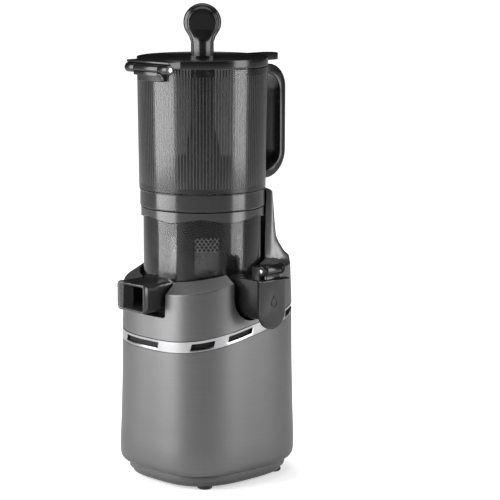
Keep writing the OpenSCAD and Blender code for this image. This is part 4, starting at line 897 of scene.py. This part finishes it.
# flap of the spout, with a plain drop sunk in its face: round is the height of the drop's middle
flap = {"edge": 0.8, "face": 92.0, "y": -4.6, "round": 201.3, "radius": 4.4, "tip": 210.4,
        "groove": 0.9, "sunk": 0.5, "above": 4.0, "steps": 20}


def makeFlap(s):
    def dropLine(r, tip):
        # round about its middle, with straight sides up to the tip
        side = math.acos(r / (tip - s["round"]))
        turns = [math.pi / 2 + side + (2 * math.pi - 2 * side) * k / s["steps"]
                 for k in range(s["steps"] + 1)]
        return [(s["y"] + r * math.cos(a), s["round"] + r * math.sin(a)) for a in turns] + [(s["y"], tip)]

    piece = dress("spoutFlap", "spout_flap", s["edge"])
    outer = dropLine(s["radius"], s["tip"])
    inner = dropLine(s["radius"] - s["groove"], s["tip"] - 2 * s["groove"])
    low, high = s["face"] - s["sunk"], s["face"] + s["above"]
    corners = ((outer, low), (outer, high), (inner, high), (inner, low))
    carve(piece, ringSkin("cut", [[(x, u, v) for u, v in line] for line, x in corners]))
    return place(piece, finishes["gloss_black"], "flap", ["spout_flap"])


makeFlap(flap)
print("flap done")

# pusher: stem and flared foot turned, head formed along its outline; head is (middle, radius) of its
# round top, section is (share of the outline, fullness of the thickness), turn is in degrees
pusher = {"stem": 12.1, "stemTop": 444.0, "foot": 17.75, "low": 342.8, "tip": 3.5, "rim": 14.2,
          "flare": 21.3, "footBevel": (1.2, 1.0, 0.6), "rimRound": 5.0, "flareRound": 14.0,
          "headFoot": 443.0, "headStep": 3.5, "neckLine": [(12.1, 466.4), (13.0, 468.6), (14.3, 472.3)],
          "head": (486.8, 20.0), "headSide": 478.0, "headWeb": 476.0, "thick": 7.5, "turn": 45.0,
          "spread": 1.6, "dent": (0.3, 0.9, 0.9),
          "section": [(1.0, 0.0), (0.985, 0.22), (0.95, 0.42), (0.9, 0.53), (0.84, 0.58), (0.8, 0.64),
                      (0.76, 0.88), (0.72, 0.97), (0.6, 1.0), (0.4, 1.0), (0.2, 1.0), (0.0, 1.0)]}


def makeStem(s):
    r, foot, top = s["stem"], s["foot"], s["stemTop"]
    tip, rim = s["low"] + s["tip"], s["low"] + s["rim"]
    across, up, corner = s["footBevel"]
    return turned("stem", fillet([
        (0, tip, 0), (foot - across, tip, 0), (foot, tip + up, corner), (foot, rim, s["rimRound"]),
        (r, rim + s["flare"], s["flareRound"]), (r, top, 0), (0, top, 0)], 8), steps=96)


def makeHead(s):
    r = s["stem"]
    centre, radius = s["head"]
    # outline of the head and the line it is offset towards, from the stem up round the top
    edge = [(r, s["headFoot"] + k * s["headStep"]) for k in range(7)] + s["neckLine"]
    start = math.asin((s["headSide"] - centre) / radius)
    turns = [mix(start, math.pi / 2, k / 18) for k in range(19)]
    arc = [(radius * math.cos(a), centre + radius * math.sin(a)) for a in turns]
    right = edge + arc
    middle = [(0, z) for x, z in edge] + [(0, min(max(z, s["headWeb"]), centre)) for x, z in arc]
    near, far, dent = s["dent"]
    rings = []
    for side in (1, -1):
        for u, full in s["section"][::side]:
            ring = []
            for (x, z), (mx, mz) in zip(right, middle):
                w = smoothStep((x - r) / (radius - r) * s["spread"]) if z < centre else 1.0
                bulge = r * math.sqrt(max(0, 1 - u * u)) - (dent if near < u < far else 0)
                ring.append((mix(mx, x, u), side * mix(bulge, s["thick"] * full, w), mix(mz, z, u)))
            ring += [(-x, y, z) for x, y, z in ring[-2::-1]]
            rings.append(ring)
    n, m = len(rings[0]), len(rings)
    faces = [(j * n + i, j * n + i + 1, (j + 1) % m * n + i + 1, (j + 1) % m * n + i)
             for j in range(m) for i in range(n - 1)]
    head = meshPiece("head", [p for ring in rings for p in ring], faces)
    head.data.transform(toBowl @ Matrix.Rotation(math.radians(s["turn"]), 4, "Z"))
    return head


pusherPiece = join("foodPusher", [makeStem(pusher), makeHead(pusher)])
place(pusherPiece, finishes["gloss_black"], "pusher", ["pusher"], 50)
print("pusher done")

# camera: focal, axisAt and picture are in the picture's points, sensor in millimetres, clip in metres
view = {"azimuth": 47.0442, "distance": 2139.9, "height": 606.5, "aim": 243.2, "focal": 2022.85,
        "axisAt": 207.2, "picture": 500, "sensor": 36.0, "clip": (0.05, 200)}


def makeCamera(s):
    camera = bpy.data.objects.new("camera", bpy.data.cameras.new("camera"))
    scene.collection.objects.link(camera)
    a = math.radians(s["azimuth"])
    centre = Vector((plan["x"], plan["y"], 0))
    away = Vector((math.sin(a), -math.cos(a), 0)) * s["distance"]
    camera.location = (centre + away + Vector((0, 0, s["height"]))) * mm
    look = (centre + Vector((0, 0, s["aim"]))) * mm - camera.location
    camera.rotation_euler = look.to_track_quat("-Z", "Y").to_euler()
    camera.data.sensor_width = s["sensor"]
    camera.data.lens = s["focal"] * s["sensor"] / s["picture"]
    camera.data.shift_x = (s["picture"] / 2 - s["axisAt"]) / s["picture"]
    camera.data.clip_start, camera.data.clip_end = s["clip"]
    scene.camera = camera


# studio, in metres and watts: left and right are (azimuth, distance, low, high, width, power), top is
# (height, width, power), floorGlow is (near, far, glow near, glow far)
studio = {"left": (-24, 1.3, 0.02, 1.3, 1.0, 30), "right": (117, 1.3, 0.02, 1.3, 0.62, 15),
          "top": (1.9, 1.8, 16), "world": 0.16, "floor": 0.86, "floorHalf": 60.0,
          "floorGlow": (0.08, 0.14, 0.5, 1.1), "floorShine": 0.25}


def newLamp(name, power):
    lamp = bpy.data.objects.new(name, bpy.data.lights.new(name, "AREA"))
    scene.collection.objects.link(lamp)
    lamp.data.energy, lamp.visible_camera = power, False
    return lamp


def makeSoftbox(name, azimuth, distance, low, high, width, power):
    # a tall softbox that stands round the object and faces it
    lamp = newLamp(name, power)
    lamp.data.shape, lamp.data.size, lamp.data.size_y = "RECTANGLE", width, high - low
    a = math.radians(azimuth)
    lamp.location = (math.sin(a) * distance, -math.cos(a) * distance, (low + high) / 2)
    lamp.rotation_euler = (math.radians(90), 0, a)


def makeTopLamp(height, width, power):
    lamp = newLamp("topSoftbox", power)
    lamp.data.size, lamp.location = width, (0, 0, height)


def makeWorld(s):
    # stronger where it is seen directly than as a light
    world = bpy.data.worlds.new("studio")
    world.use_nodes = True
    scene.world = world
    tree = world.node_tree
    seen = addNode(tree, "ShaderNodeLightPath")
    direct = field(tree, "MAXIMUM", seen.outputs["Is Camera Ray"], seen.outputs["Is Transmission Ray"])
    wire(tree, field(tree, "MAXIMUM", direct, s["world"]), tree.nodes["Background"].inputs["Strength"])


def makeFloor(s):
    # paper that glows where it is seen, less so close to the object
    far = s["floorHalf"] / mm
    floor = meshPiece("floor", [(-far, -far, 0), (far, -far, 0), (far, far, 0), (-far, far, 0)],
                      [(0, 1, 2, 3)])
    paper = bpy.data.materials.new("paperFloor")
    paper.use_nodes = True
    tree = paper.node_tree
    surface = tree.nodes["Principled BSDF"]
    surface.inputs["Base Color"].default_value = (s["floor"],) * 3 + (1,)
    surface.inputs["Roughness"].default_value = 0.9
    surface.inputs["Specular IOR Level"].default_value = 0.0
    surface.inputs["Emission Color"].default_value = (1, 1, 1, 1)
    seen = addNode(tree, "ShaderNodeLightPath")
    mirrored = field(tree, "MULTIPLY", seen.outputs["Is Glossy Ray"], s["floorShine"])
    indirect = field(tree, "MAXIMUM", mirrored, seen.outputs["Is Transmission Ray"])
    direct = field(tree, "MAXIMUM", seen.outputs["Is Camera Ray"], indirect)
    where = addNode(tree, "ShaderNodeTexCoord")
    away = addNode(tree, "ShaderNodeVectorMath", operation="LENGTH")
    wire(tree, where.outputs["Object"], away.inputs[0])
    spread = addNode(tree, "ShaderNodeMapRange", interpolation_type="SMOOTHSTEP")
    for label, value in zip(("From Min", "From Max", "To Min", "To Max"), s["floorGlow"]):
        spread.inputs[label].default_value = value
    wire(tree, away.outputs["Value"], spread.inputs["Value"])
    wire(tree, field(tree, "MULTIPLY", direct, spread.outputs[0]), surface.inputs["Emission Strength"])
    floor.data.materials.append(paper)
    if floor.data.polygons[0].normal.z < 0:
        floor.data.flip_normals()


makeCamera(view)
makeSoftbox("leftSoftbox", *studio["left"])
makeSoftbox("rightSoftbox", *studio["right"])
makeTopLamp(*studio["top"])
makeWorld(studio)
makeFloor(studio)
scene.view_settings.view_transform = "Standard"
print("studio ready")
